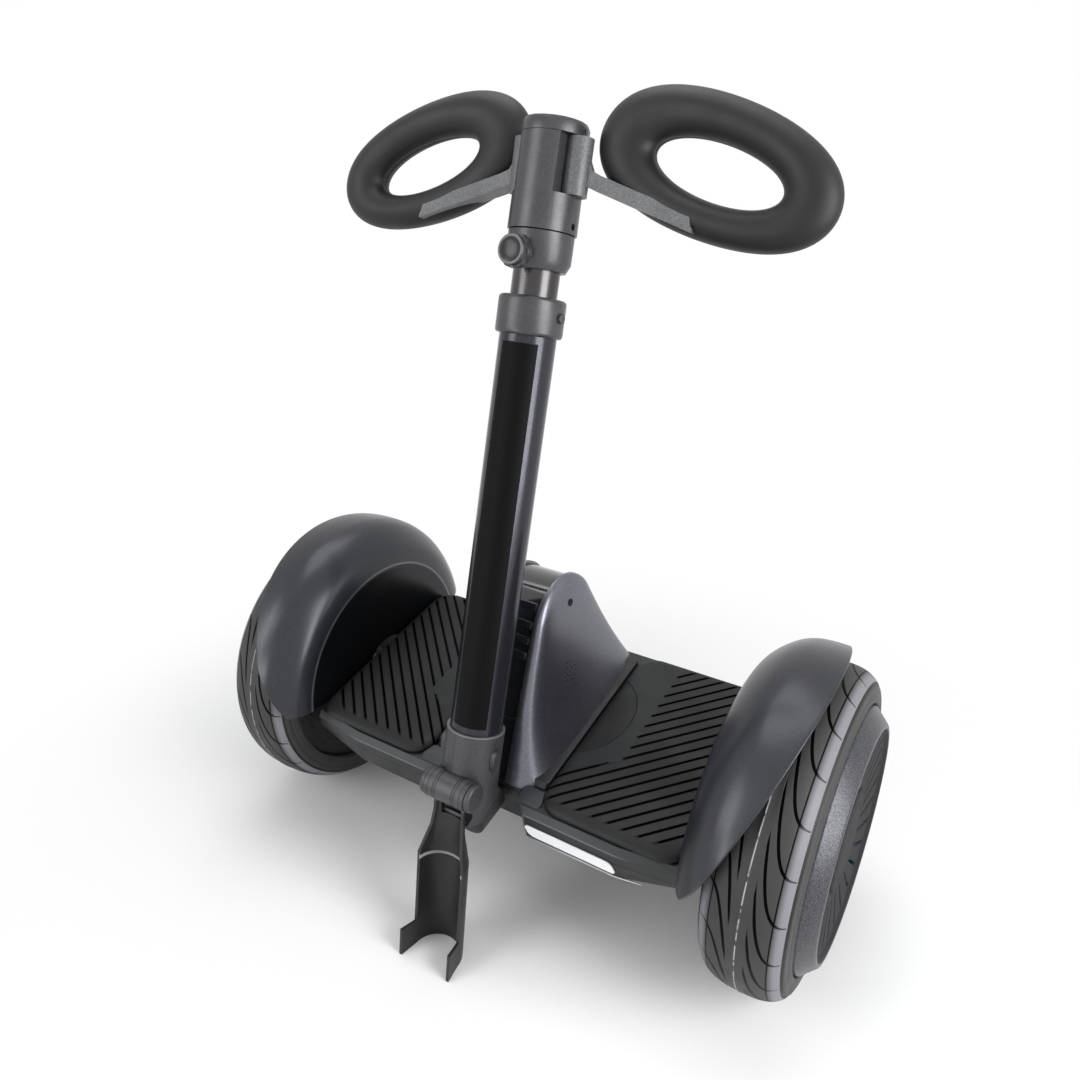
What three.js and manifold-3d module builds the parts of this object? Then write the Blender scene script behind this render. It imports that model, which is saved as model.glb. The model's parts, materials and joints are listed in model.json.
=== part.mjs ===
// A self balancing personal transporter: two hub motor wheels, a foot deck between them,
// a folding steering stem with two hand rings, and a kickstand that is down.
// All lengths are millimetres. +Z is up and the front of the machine looks along -Y.
// Left and right are named as seen from in front, so right is +X.
import * as THREE from 'three';
import { mergeVertices } from 'three/addons/utils/BufferGeometryUtils.js';
import Module from 'manifold-3d';

const wasm = await Module();
wasm.setup();

// Driving dimensions

const GAP = 0.3;
const CUT_OVERRUN = 6;
const TAU = Math.PI * 2;

// The deck's width sets the places of the wheels and of all that lies along the deck
const DECK_HALF_WIDTH = 181.5;

// Wheels
const WHEEL_RADIUS = 131;
const WHEEL_OFF_DECK = 53.5;
const WHEEL_TRACK_HALF = DECK_HALF_WIDTH + WHEEL_OFF_DECK;
const TYRE_HALF_WIDTH = 34;
const TYRE_CROWN_SHARES = [[0.012, 0.3], [0.06, 0.53], [0.147, 0.735], [0.31, 0.88], [0.56, 0.98]];
const TYRE_BEAD_SHARE = 0.96;
const TYRE_BORE_RADIUS = 98;
const RIM_HALF_WIDTH = 25;
const RIM_FLANGE_RADIUS = 104.5;
const RIM_WALL = 6;
const RIM_WEB = 4;
const COVER_EDGE_RADIUS = 104;
const COVER_EDGE_OUT = 34.3;
const COVER_CREST_RADIUS = 92.4;
const COVER_CREST_OUT = 45;
const COVER_STEP_OUT = 42.2;
const COVER_DISC_OUT = 38;
const COVER_WALL = 3;
const SLOT_COUNT = 24;
const SLOT_INNER_RADIUS = 48;
const SLOT_OUTER_RADIUS = 82;
const SLOT_WIDTH = 3;
const SLOT_DEPTH = 18;
const SLOT_SLANT_SHARE = 0.3;
const BOSS_RADIUS = 39.5;
const BOSS_OUT = 40.5;
const BOSS_NECK_RADIUS = 24;
const LIGHT_RING_INNER_RADIUS = 44;
const LIGHT_RING_OUTER_RADIUS = 80;
const LIGHT_RING_THICKNESS = 2;
const AXLE_RADIUS = 8;
const AXLE_COLLAR_RADIUS = 13;
const AXLE_COLLAR_LENGTH = 8;
const BEARING_RADIUS = 16;
const BEARING_WIDTH = 8;
const STATOR_RADIUS = 82;
const STATOR_HALF_WIDTH = 11;
const STATOR_POLE_COUNT = 18;
const STATOR_SLOT_DEPTH = 12;
const STATOR_SLOT_WIDTH = 10;
const SIDE_COVER_THICKNESS = 4;

// Fenders
const FENDER_RADIUS = 143.2;
const FENDER_WALL = 2.8;
const FENDER_PLATE_GAP = 0.5;
const FENDER_PLATE_X = DECK_HALF_WIDTH + FENDER_PLATE_GAP;
const FENDER_PLATE_RADIUS = 104;
const FENDER_PLATE_FOOT_RADIUS = 30;
const FENDER_PEAK_REACH = 69.5;
const FENDER_PEAK_X = FENDER_PLATE_X + FENDER_PEAK_REACH;
const FENDER_TIP_REACH = 9;
const FENDER_TIP_X = FENDER_PLATE_X + FENDER_TIP_REACH;
const FENDER_PEAK_ANGLE = 84;
const FENDER_HALF_ANGLE = 82;
const FENDER_SHOULDER_REACH = 40;
const FENDER_SHOULDER_X = FENDER_PLATE_X + FENDER_SHOULDER_REACH;
const FENDER_BEND_SHARES = [[0.04, 0.25], [0.14, 0.48], [0.34, 0.7], [0.58, 0.875], [0.79, 0.96]];

// Deck
const DECK_HALF_DEPTH = 104;
const DECK_TOP = 21;
const DECK_SPLIT = 6;
const DECK_BOTTOM = -40;
const DECK_WALL = 3;
const DECK_EDGE_CHAMFER = 5;
const DECK_FLOOR_HALF_DEPTH = 62;
const DECK_SIDE_DEPTH = 102.5;
const DECK_SIDE_LEVEL = -12;
const DECK_BEND_INSET = 52;
const DECK_BEND_X = DECK_HALF_WIDTH - DECK_BEND_INSET;
const DECK_END_STEP = 6;
const DECK_END_RISE = 13;
const MAT_INNER_X = 57.5;
const MAT_SIDE_GAP = 1.7;
const MAT_OUTER_X = DECK_HALF_WIDTH - MAT_SIDE_GAP;
const MAT_FRONT_Y = -97;
const MAT_REAR_Y = 96;
const MAT_THICKNESS = 6.6;
const MAT_CORNER = 20;
const NOTCH_HALF_WIDTH = 36;
const NOTCH_REAR_Y = -80;
const NOTCH_CHAMFER = 13;
const BATTERY_WIDTH = 150;
const BATTERY_DEPTH = 42;
const BATTERY_HEIGHT = 26;
const BATTERY_FRONT_Y = 20;
const BOARD_WIDTH = 96;
const BOARD_DEPTH = 40;
const BOARD_THICKNESS = 1.6;
const BOARD_PART_HEIGHT = 8;
const BEAM_HEIGHT = 20;
const BEAM_DEPTH = 34;
const BEAM_END_GAP = 5.5;
const BEAM_HALF_LENGTH = DECK_HALF_WIDTH - BEAM_END_GAP;
const BEAM_POST_INSET = 61.5;
const BEAM_POST_X = DECK_HALF_WIDTH - BEAM_POST_INSET;
const BEAM_POST_WIDTH = 22;
const ARM_HALF_WIDTH = 21;
const ARM_HALF_HEIGHT = 17;
const ARM_FRONT_Y = -76;
const BADGE_WIDTH = 79;
const BADGE_HEIGHT = 13;
const BADGE_THICKNESS = 1.2;
const BADGE_RISE = 3;
const BADGE_INSET = 92;
const BADGE_CENTRE_X = DECK_HALF_WIDTH - BADGE_INSET;
const LAMP_WIDTH = 34;
const LAMP_HEIGHT = 6;
const LAMP_DEPTH = 6;
const LAMP_INSET = 61.5;
const LAMP_X = DECK_HALF_WIDTH - LAMP_INSET;
const FOOT_RADIUS = 6;
const FOOT_HEIGHT = 16;
const FOOT_INSET = 40;
const FOOT_X = DECK_HALF_WIDTH - FOOT_INSET;
const FOOT_Y = -55;
const PORT_RADIUS = 8;
const PORT_PIN_RADIUS = 3;
const PORT_DEPTH = 16;
const PORT_INSET = 121.5;
const PORT_X = DECK_HALF_WIDTH - PORT_INSET;
const PORT_CAP_THICKNESS = 2;
const BUTTON_RADIUS = 4.4;
const BUTTON_TRAVEL = 1.2;
const BUTTON_DEPTH = 8;
const BUTTON_INSET = 121.5;
const BUTTON_X = BUTTON_INSET - DECK_HALF_WIDTH;
const MAT_EDGE_ROUND = 4;
const ROUND_STEP_SHARE = 0.3;

// Hump between the feet
const HUMP_BAND_HALF = 20;
const HUMP_WALL = 2.6;
const HUMP_TOP_HALF_WIDTH = 31;
const HUMP_BASE_HALF_WIDTH = 54;
const HUMP_CREST_RADIUS = 44;
const HUMP_CREST_Y = 17.7;
const HUMP_CREST_Z = 112;
const HUMP_FRONT_ANGLE = 30.5;
const HUMP_REAR_ANGLE = 21.3;
const HUMP_BAND_INSET = 2.5;
const HUMP_BAND_WALL = 3;
const HUMP_CORNER_SHARE = 0.5;
const HUMP_PEEPHOLE_RADIUS = 2.4;
const HUMP_PEEPHOLE_Y = 23;
const HUMP_PEEPHOLE_Z = 133;
const HUMP_RIDGE_COUNT = 4;
const HUMP_RIDGE_PITCH = 11;
const HUMP_RIDGE_HEIGHT = 1.6;
const HUMP_RIDGE_LENGTH = 6;

// Steering pivot and stem
const STEM_ANGLE = 26;
const RIM_Y = -84.8;
const RIM_Z = 76.2;
const PIVOT_Z = 0;
const PIVOT_SHAFT_RADIUS = 8;
const PIVOT_BEARING_RADIUS = 15;
const PIVOT_SEAT_Y = -64;
const PIVOT_SHAFT_END = -28;
const CENTRING_FRONT_Y = -56;
const CENTRING_LENGTH = 14;
const CENTRING_HALF_WIDTH = 13;
const SOCKET_RADIUS = 23.4;
const SOCKET_CONE_TOP = -56;
const SOCKET_BOTTOM = -80;
const SOCKET_BOTTOM_RADIUS = 16;
const PIVOT_HUB_FRONT = -118;
const PIVOT_HUB_REAR = -86;
const RELEASE_S = -20;
const RELEASE_Y = -4;
const RELEASE_HALF_WIDTH = 4;
const RELEASE_HALF_HEIGHT = 8.5;
const RELEASE_INNER_X = 18.3;
const RELEASE_OUTER_X = 26;
const SOCKET_BORE_FOOT = -31;
const NECK_SLOT_REAR_Y = -15.5;
const NECK_SLOT_TOP_S = -60;
const PIVOT_HUB_RADIUS = 17;
const OUTER_TUBE_RADIUS = 21;
const OUTER_TUBE_WALL = 1.8;
const OUTER_TUBE_TOP = 322;
const OUTER_TUBE_FOOT = -30;
const COLLAR_RADIUS = 24.6;
const COLLAR_GRIP = 16.5;
const COLLAR_LIP = 10.5;
const COLLAR_BOTTOM = OUTER_TUBE_TOP - COLLAR_GRIP;
const COLLAR_TOP = OUTER_TUBE_TOP + COLLAR_LIP;
const COLLAR_ROUND = 3;
const INNER_TUBE_RADIUS = 17;
const INNER_TUBE_WALL = 1.6;
const INNER_TUBE_FOOT = 60;
const CLAMP_OFF_COLLAR = 18.5;
const CLAMP_HEIGHT = 25.4;
const CLAMP_BOTTOM = COLLAR_TOP + CLAMP_OFF_COLLAR;
const CLAMP_TOP = CLAMP_BOTTOM + CLAMP_HEIGHT;
const HEAD_BOTTOM = CLAMP_TOP + GAP * 2;
const INNER_TUBE_IN_HEAD = 19;
const INNER_TUBE_TOP = HEAD_BOTTOM + INNER_TUBE_IN_HEAD;
const CLAMP_RADIUS = 23.7;
const CLAMP_FOOT_RADIUS = 20.6;
const COLLAR_SCREW_DROP = 2;
const COLLAR_SCREW_S = OUTER_TUBE_TOP - COLLAR_SCREW_DROP;
const COLLAR_SCREW_RADIUS = 2.2;
const COLLAR_SCREW_HEAD_RADIUS = 3.6;
const COLLAR_SCREW_HEAD_OUT = 1.8;
const KNOB_RISE = 9;
const KNOB_S = CLAMP_BOTTOM + KNOB_RISE;
const KNOB_RADIUS = 12;
const KNOB_LOBE_DEPTH = 1.2;
const KNOB_LOBE_COUNT = 6;
const KNOB_BACK_Y = -27.3;
const KNOB_FACE_Y = -37.5;
const KNOB_DISH_RADIUS = 8;
const KNOB_DISH_DEPTH = 2;
const KNOB_SCREW_RADIUS = 3;
const CLAMP_BOSS_RADIUS = 8;

// Head, arms and hand rings, in the stem's frame
const HEAD_HEIGHT = 63;
const HEAD_TOP = HEAD_BOTTOM + HEAD_HEIGHT;
const HEAD_FOOT_RADIUS = 25;
const HEAD_TOP_RADIUS = 24;
const HEAD_FACET_COUNT = 20;
const CAP_THICKNESS = 9.5;
const HEAD_FRONT_HALF = 15.5;
const HEAD_SLOT_REACH = 40;
const HEAD_SCREW_RISE = 5;
const HEAD_SCREW_S = HEAD_BOTTOM + HEAD_SCREW_RISE;
const HEAD_SCREW_RADIUS = 2.4;
const KNUCKLE_X = 21.5;
const KNUCKLE_RADIUS = 9.3;
const KNUCKLE_HEIGHT = 38;
const KNUCKLE_BOTTOM = HEAD_TOP - KNUCKLE_HEIGHT;
const ARM_PIN_RADIUS = 2;
const ARM_PIN_BELOW = 9;
const ARM_PIN_ABOVE = 5;
const BAR_START_X = 31;
const BAR_END_X = 112;
const BAR_END_DROP = 14;
const BAR_END_S = KNUCKLE_BOTTOM - BAR_END_DROP;
const BAR_SLOPE_SHARE = -0.3196;
const BAR_HEIGHT = 10;
const BAR_THICKNESS = 4;
const BAR_FLANGE_DEPTH = 15;
const BAR_FLANGE_THICKNESS = 3;
const BAR_FRONT_Y = -1;
const BAR_END_CHAMFER = 3;
const ARM_WEB_DROP = 6;
const ARM_WEB_RISE = 8;
const ARM_WEB_REACH = 12;
const RING_CENTRE_X = 117;
const RING_CENTRE_Y = 15;
const RING_OVER_BAR = 35.5;
const RING_CENTRE_S = BAR_END_S + RING_OVER_BAR;
const RING_SLOPE_ANGLE = 17.4;
const RING_FACE_ANGLE = 2.1;
const RING_HALF_LENGTH = 70.8;
const RING_HALF_HEIGHT = 30.8;
const RING_HOLE_HALF_LENGTH = 48;
const RING_HOLE_HALF_HEIGHT = 17.6;
const RING_HOLE_SHIFT = 0.8;
const RING_TUBE_HALF_WIDTH = 15.3;
const RING_TUBE_SWELL = 2.5;
const RING_TUBE_END_SWELL = 2.1;
const RING_SWELL_ANGLE = 158;
const RING_TUBE_HALF_DEPTH = 15;

// Kickstand, in the stem's frame
const KICK_HINGE_FRONT = 24;
const KICK_HINGE_S = -46;
const KICK_ANGLE = 6.2;
const KICK_BARREL_RADIUS = 12;
const KICK_PIN_RADIUS = 5;
const KICK_KNUCKLE_HALF = 15;
const KICK_LUG_OUTER = 19;
const KICK_CAP_OUTER = 24;
const KICK_CAP_RADIUS = 11.5;
const KICK_CHANNEL_AXIS = 9.5;
const KICK_CHANNEL_RADIUS = 23;
const KICK_WALL = 2.6;
const KICK_CHANNEL_TOP = 62;
const KICK_FOOT = 156;
const KICK_EAR_FRONT = 15;
const KICK_EAR_HEIGHT = 25;
const KICK_EAR_FLARE = 2.6;
const KICK_NECK_SHARES = [
  [0.065, 0.64, -0.1, 0.37],
  [0.355, 0.64, -0.1, 0.37],
  [0.58, 0.705, -0.16, 0.35],
  [0.81, 0.85, -0.33, 0.52],
  [1, 0.99, -0.41, 0.58],
  [1.1, 0.99, -0.41, 0.58],
];
const KICK_NECK_THICKNESS = 5;
const KICK_WINDOW_TOP = -15;
const KICK_WINDOW_HEIGHT = 11;
const KICK_WINDOW_HALF = 9.5;

// Colours and finishes
const paint = (color, roughness, metalness = 0) => new THREE.MeshStandardMaterial({ color, roughness, metalness });
const finish = {
  rubber: paint('#1b1b1d', 0.85),
  tyre: paint('#2a292b', 0.8),
  softTouch: paint('#1d1d1f', 0.6),
  shellBlack: paint('#1a1b1e', 0.45),
  metallicBlue: paint('#3a3c46', 0.3, 0.5),
  glossBlack: paint('#0d0d10', 0.12),
  greyPlastic: paint('#4a4a4e', 0.55),
  castGrey: paint('#55565a', 0.5, 0.6),
  tubeDark: paint('#2e2f33', 0.35, 0.7),
  polished: paint('#a9a7a6', 0.2, 0.95),
  steel: paint('#8d9095', 0.35, 0.9),
  copper: paint('#9a5b33', 0.4, 0.8),
  board: paint('#1d4a2c', 0.5),
  battery: paint('#2f5d8c', 0.5),
  badge: paint('#e9eaec', 0.3),
  lamp: paint('#cfeef5', 0.2),
  redLamp: paint('#8e1518', 0.25),
};

// Geometry helpers

// Merges shared corners, drops folded triangles and turns the faces outward.
function closedBody(geometry) {
  const bare = geometry.clone();
  bare.deleteAttribute('normal');
  bare.deleteAttribute('uv');
  const merged = mergeVertices(bare, 1e-4);
  const position = merged.attributes.position;
  const corner = [0, 1, 2].map(() => new THREE.Vector3());
  const source = merged.index.array;
  const kept = [];
  let volume = 0;
  for (let i = 0; i < source.length; i += 3) {
    const face = [source[i], source[i + 1], source[i + 2]];
    if (new Set(face).size < 3) continue;
    face.forEach((id, k) => corner[k].fromBufferAttribute(position, id));
    volume += corner[0].dot(corner[1].clone().cross(corner[2]));
    kept.push(...face);
  }
  if (volume < 0) {
    for (let i = 0; i < kept.length; i += 3) [kept[i], kept[i + 1]] = [kept[i + 1], kept[i]];
  }
  merged.setIndex(kept);
  return merged;
}

function solid(geometry) {
  const body = closedBody(geometry);
  return new wasm.Manifold(new wasm.Mesh({
    numProp: 3,
    vertProperties: new Float32Array(body.attributes.position.array),
    triVerts: new Uint32Array(body.index.array),
  }));
}

function surface(manifold) {
  const mesh = manifold.getMesh();
  const geometry = new THREE.BufferGeometry();
  geometry.setAttribute('position', new THREE.BufferAttribute(mesh.vertProperties, 3));
  geometry.setIndex([...mesh.triVerts]);
  return geometry;
}

function cut(body, ...tools) {
  return surface(tools.reduce((left, tool) => left.subtract(solid(tool)), solid(body)));
}

function join(...bodies) {
  return surface(bodies.map(solid).reduce((sum, body) => sum.add(body)));
}

// A body of revolution. Each profile point is [radius, place along the axis].
function turned(profile, segments, axis = 'z') {
  const closed = [...profile, profile[0]];
  const points = closed.map(([radius, along]) => new THREE.Vector2(radius, along));
  const geometry = new THREE.LatheGeometry(points, segments);
  if (axis === 'x') geometry.rotateZ(-Math.PI / 2);
  if (axis === 'z') geometry.rotateX(Math.PI / 2);
  return closedBody(geometry);
}

function tube(outer, inner, from, to, segments, axis = 'z') {
  return turned([[inner, from], [outer, from], [outer, to], [inner, to]], segments, axis);
}

function rod(radius, from, to, segments, axis = 'z') {
  return tube(radius, 0, from, to, segments, axis);
}

function box(width, depth, height, x = 0, y = 0, z = 0) {
  return new THREE.BoxGeometry(width, depth, height).translate(x, y, z);
}

// An outline in the plane across X, pushed from one x to another.
function alongX(points, from, to) {
  const shape = new THREE.Shape(points.map(([y, z]) => new THREE.Vector2(y, z)));
  const geometry = new THREE.ExtrudeGeometry(shape, { depth: to - from, bevelEnabled: false });
  geometry.applyMatrix4(new THREE.Matrix4().set(0, 0, 1, from, 1, 0, 0, 0, 0, 1, 0, 0, 0, 0, 0, 1));
  return closedBody(geometry);
}

// An outline in the X-Z plane, pushed along Y.
function alongY(points, from, to) {
  const shape = new THREE.Shape(points.map(([x, z]) => new THREE.Vector2(x, z)));
  const geometry = new THREE.ExtrudeGeometry(shape, { depth: to - from, bevelEnabled: false });
  geometry.rotateX(Math.PI / 2);
  geometry.translate(0, to, 0);
  return closedBody(geometry);
}

// An outline in the X-Y plane, pushed up.
function alongZ(points, from, to) {
  const shape = new THREE.Shape(points.map(([x, y]) => new THREE.Vector2(x, y)));
  const geometry = new THREE.ExtrudeGeometry(shape, { depth: to - from, bevelEnabled: false });
  geometry.translate(0, 0, from);
  return closedBody(geometry);
}

function roundedRectangle(left, right, bottom, top, radius, steps = 4) {
  const corners = [[right, top, 0], [left, top, 1], [left, bottom, 2], [right, bottom, 3]];
  return corners.flatMap(([x, y, quarter]) => {
    const centreX = x === right ? right - radius : left + radius;
    const centreY = y === top ? top - radius : bottom + radius;
    return Array.from({ length: steps + 1 }, (_, i) => {
      const angle = (quarter + i / steps) * TAU / 4;
      return [centreX + radius * Math.cos(angle), centreY + radius * Math.sin(angle)];
    });
  });
}

// A closed body between two grids of points with the same rows and columns.
// Rows that wrap round close on themselves.
function between(outer, inner, wrapRows = false) {
  const rows = outer.length;
  const columns = outer[0].length;
  const positions = [...outer.flat(), ...inner.flat()].flatMap((point) => [point.x, point.y, point.z]);
  const outerId = (row, column) => (row % rows) * columns + column;
  const innerId = (row, column) => rows * columns + (row % rows) * columns + column;
  const index = [];
  const quad = (a, b, c, d) => index.push(a, b, c, a, c, d);
  const rowSteps = wrapRows ? rows : rows - 1;
  for (let row = 0; row < rowSteps; row += 1) {
    for (let column = 0; column < columns - 1; column += 1) {
      quad(outerId(row, column), outerId(row, column + 1), outerId(row + 1, column + 1), outerId(row + 1, column));
      quad(innerId(row, column), innerId(row + 1, column), innerId(row + 1, column + 1), innerId(row, column + 1));
    }
    quad(outerId(row, 0), outerId(row + 1, 0), innerId(row + 1, 0), innerId(row, 0));
    const last = columns - 1;
    quad(outerId(row, last), innerId(row, last), innerId(row + 1, last), outerId(row + 1, last));
  }
  if (!wrapRows) {
    for (let column = 0; column < columns - 1; column += 1) {
      const last = rows - 1;
      quad(outerId(0, column), innerId(0, column), innerId(0, column + 1), outerId(0, column + 1));
      quad(outerId(last, column), outerId(last, column + 1), innerId(last, column + 1), innerId(last, column));
    }
  }
  const geometry = new THREE.BufferGeometry();
  geometry.setAttribute('position', new THREE.Float32BufferAttribute(positions, 3));
  geometry.setIndex(index);
  return closedBody(geometry);
}

function mirrored(geometry) {
  return closedBody(geometry.clone().scale(-1, 1, 1));
}

function group(parent, x = 0, y = 0, z = 0) {
  const made = new THREE.Group();
  made.position.set(x, y, z);
  parent.add(made);
  return made;
}

function piece(parent, name, geometry, material, x = 0, y = 0, z = 0) {
  const mesh = new THREE.Mesh(closedBody(geometry), material);
  mesh.name = name;
  mesh.position.set(x, y, z);
  parent.add(mesh);
  return mesh;
}

const radians = THREE.MathUtils.degToRad;
const SIDES = [['left', -1], ['right', 1]];

// Wheels. The wheel's frame has its outboard side towards +X.

function tyreBody() {
  const half = TYRE_HALF_WIDTH;
  const crown = WHEEL_RADIUS;
  const flangeIn = RIM_HALF_WIDTH - RIM_WEB;
  const side = [
    [crown, 0],
    ...TYRE_CROWN_SHARES.map(([drop, out]) => [crown - half * drop, half * out]),
    [RIM_FLANGE_RADIUS + GAP * 4, half * TYRE_BEAD_SHARE],
    [RIM_FLANGE_RADIUS + GAP * 4, flangeIn],
    [TYRE_BORE_RADIUS, flangeIn - GAP * 6],
  ];
  const mirroredSide = side.slice(1).map(([radius, x]) => [radius, -x]).reverse();
  return turned([...mirroredSide, ...side], 36, 'x');
}

function rimBody() {
  const bed = TYRE_BORE_RADIUS - GAP;
  const bore = bed - RIM_WALL;
  const flangeIn = RIM_HALF_WIDTH - RIM_WEB;
  const outWebIn = RIM_HALF_WIDTH - RIM_WEB * 2;
  return turned([
    [bore, -RIM_HALF_WIDTH],
    [RIM_FLANGE_RADIUS, -RIM_HALF_WIDTH],
    [RIM_FLANGE_RADIUS, -flangeIn - GAP],
    [bed, -flangeIn + GAP * 4],
    [bed, flangeIn - GAP * 4],
    [RIM_FLANGE_RADIUS, flangeIn + GAP],
    [RIM_FLANGE_RADIUS, RIM_HALF_WIDTH],
    [BOSS_NECK_RADIUS, RIM_HALF_WIDTH],
    [BOSS_NECK_RADIUS, outWebIn],
    [bore, outWebIn],
  ], 36, 'x');
}

function hubCoverBody() {
  const back = RIM_HALF_WIDTH + GAP;
  const stepRadius = COVER_CREST_RADIUS - COVER_WALL * 2;
  const shell = turned([
    [BOSS_RADIUS + GAP, COVER_DISC_OUT - COVER_WALL],
    [stepRadius, COVER_STEP_OUT - COVER_WALL],
    [COVER_EDGE_RADIUS - COVER_WALL, COVER_EDGE_OUT - COVER_WALL],
    [COVER_EDGE_RADIUS - COVER_WALL, back],
    [COVER_EDGE_RADIUS, back],
    [COVER_EDGE_RADIUS, COVER_EDGE_OUT],
    [COVER_CREST_RADIUS, COVER_CREST_OUT],
    [COVER_CREST_RADIUS - COVER_WALL, COVER_CREST_OUT],
    [stepRadius, COVER_STEP_OUT],
    [BOSS_RADIUS + GAP, COVER_DISC_OUT],
  ], 36, 'x');
  const slots = Array.from({ length: SLOT_COUNT }, (_, i) => {
    const slot = box(SLOT_DEPTH, SLOT_WIDTH, SLOT_OUTER_RADIUS - SLOT_INNER_RADIUS);
    slot.rotateX(SLOT_SLANT_SHARE);
    slot.translate(COVER_DISC_OUT - COVER_WALL / 2, 0, (SLOT_OUTER_RADIUS + SLOT_INNER_RADIUS) / 2);
    return slot.rotateX(i * TAU / SLOT_COUNT);
  });
  return cut(shell, ...slots);
}

function lightRingBody() {
  const front = COVER_DISC_OUT - COVER_WALL - GAP;
  return tube(LIGHT_RING_OUTER_RADIUS, LIGHT_RING_INNER_RADIUS, front - LIGHT_RING_THICKNESS, front, 28, 'x');
}

// The boss closes the middle of the cover and carries the light ring on a flange behind it.
function bossBody() {
  const foot = RIM_HALF_WIDTH + GAP;
  const ringBack = COVER_DISC_OUT - COVER_WALL - GAP - LIGHT_RING_THICKNESS - GAP;
  const flange = LIGHT_RING_INNER_RADIUS + RIM_WEB;
  return turned([
    [0, foot],
    [flange, foot],
    [flange, ringBack],
    [BOSS_RADIUS, ringBack],
    [BOSS_RADIUS, COVER_DISC_OUT],
    [BOSS_RADIUS - COVER_WALL, BOSS_OUT],
    [0, BOSS_OUT + GAP],
  ], 28, 'x');
}

function sideCoverBody() {
  const bore = TYRE_BORE_RADIUS - GAP - RIM_WALL - GAP;
  const from = -RIM_HALF_WIDTH;
  const seat = BEARING_RADIUS + GAP;
  const inner = from + SIDE_COVER_THICKNESS;
  const hub = from + BEARING_WIDTH;
  const section = [[seat, from], [bore, from], [bore, inner], [seat + RIM_WEB, inner], [seat + RIM_WEB, hub], [seat, hub]];
  return turned(section, 36, 'x');
}

function bearingBody() {
  return tube(BEARING_RADIUS, AXLE_RADIUS + GAP, -RIM_HALF_WIDTH, -RIM_HALF_WIDTH + BEARING_WIDTH, 20, 'x');
}

function statorBody() {
  const ring = tube(STATOR_RADIUS, AXLE_RADIUS + GAP, -STATOR_HALF_WIDTH, STATOR_HALF_WIDTH, 36, 'x');
  const slots = Array.from({ length: STATOR_POLE_COUNT }, (_, i) => {
    const slot = box((STATOR_HALF_WIDTH + CUT_OVERRUN) * 2, STATOR_SLOT_WIDTH, STATOR_SLOT_DEPTH);
    slot.translate(0, 0, STATOR_RADIUS - STATOR_SLOT_DEPTH / 2 + GAP);
    return slot.rotateX(i * TAU / STATOR_POLE_COUNT);
  });
  return cut(ring, ...slots);
}

// The axle is fixed. Its inner end lies clamped in the deck's cross beam.
const AXLE_INNER_END = BEAM_HALF_LENGTH - WHEEL_TRACK_HALF - BEAM_DEPTH;
function axleBody() {
  const collarOut = -RIM_HALF_WIDTH - GAP * 4;
  const collarIn = collarOut - AXLE_COLLAR_LENGTH;
  return turned([
    [0, AXLE_INNER_END],
    [AXLE_RADIUS, AXLE_INNER_END],
    [AXLE_RADIUS, collarIn],
    [AXLE_COLLAR_RADIUS, collarIn],
    [AXLE_COLLAR_RADIUS, collarOut],
    [AXLE_RADIUS, collarOut],
    [AXLE_RADIUS, STATOR_HALF_WIDTH + GAP * 4],
    [0, STATOR_HALF_WIDTH + GAP * 4],
  ], 16, 'x');
}

function addWheel(chassis, side, sign) {
  const wheel = group(chassis, sign * WHEEL_TRACK_HALF);
  if (sign < 0) wheel.rotation.z = Math.PI;
  piece(wheel, `tyre_${side}`, tyreBody(), finish.tyre);
  piece(wheel, `motor_rim_${side}`, rimBody(), finish.shellBlack);
  piece(wheel, `hub_cover_${side}`, hubCoverBody(), finish.greyPlastic);
  piece(wheel, `hub_light_ring_${side}`, lightRingBody(), finish.lamp);
  piece(wheel, `hub_boss_${side}`, bossBody(), finish.greyPlastic);
  piece(wheel, `motor_side_cover_${side}`, sideCoverBody(), finish.shellBlack);
  piece(wheel, `wheel_bearing_${side}`, bearingBody(), finish.steel);
  piece(wheel, `motor_stator_${side}`, statorBody(), finish.copper);
  piece(wheel, `axle_${side}`, axleBody(), finish.steel);
}

// Fenders. Each is a thin shell round the axle: a flat plate beside the deck that rolls over
// into a crown above the tyre, and ends in a slanting outer edge.

const FENDER_SECTION = [
  [FENDER_PLATE_X, FENDER_PLATE_FOOT_RADIUS],
  [FENDER_PLATE_X, FENDER_PLATE_RADIUS],
  ...FENDER_BEND_SHARES.map(([out, up]) => [
    FENDER_PLATE_X + out * (FENDER_SHOULDER_X - FENDER_PLATE_X),
    FENDER_PLATE_RADIUS + up * (FENDER_RADIUS - FENDER_PLATE_RADIUS),
  ]),
  [FENDER_SHOULDER_X + (FENDER_PEAK_X - FENDER_SHOULDER_X) / 2, FENDER_RADIUS],
  [FENDER_PEAK_X, FENDER_RADIUS - FENDER_WALL / 2],
];

// The section's point at a step out of the plate towards the outer edge, with its inward normal.
// The step before zero is the plate's foot.
function fenderPoint(edgeX, step, steps) {
  const points = FENDER_SECTION.map(([x, radius]) => new THREE.Vector2(x, radius));
  if (step < 0) return { place: points[0], inward: new THREE.Vector2(1, 0) };
  const last = points.findIndex((point) => point.x >= edgeX);
  const from = points[last - 1];
  const end = from.clone().lerp(points[last], (edgeX - from.x) / (points[last].x - from.x));
  const path = [...points.slice(1, last), end];
  const lengths = path.slice(1).map((point, i) => point.distanceTo(path[i]));
  let left = (step / steps) * lengths.reduce((sum, length) => sum + length, 0);
  let i = 0;
  while (i < lengths.length - 1 && left > lengths[i]) {
    left -= lengths[i];
    i += 1;
  }
  const place = path[i].clone().lerp(path[i + 1], Math.min(1, left / lengths[i]));
  const run = path[i + 1].clone().sub(path[i]).normalize();
  return { place, inward: new THREE.Vector2(run.y, -run.x) };
}

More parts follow.
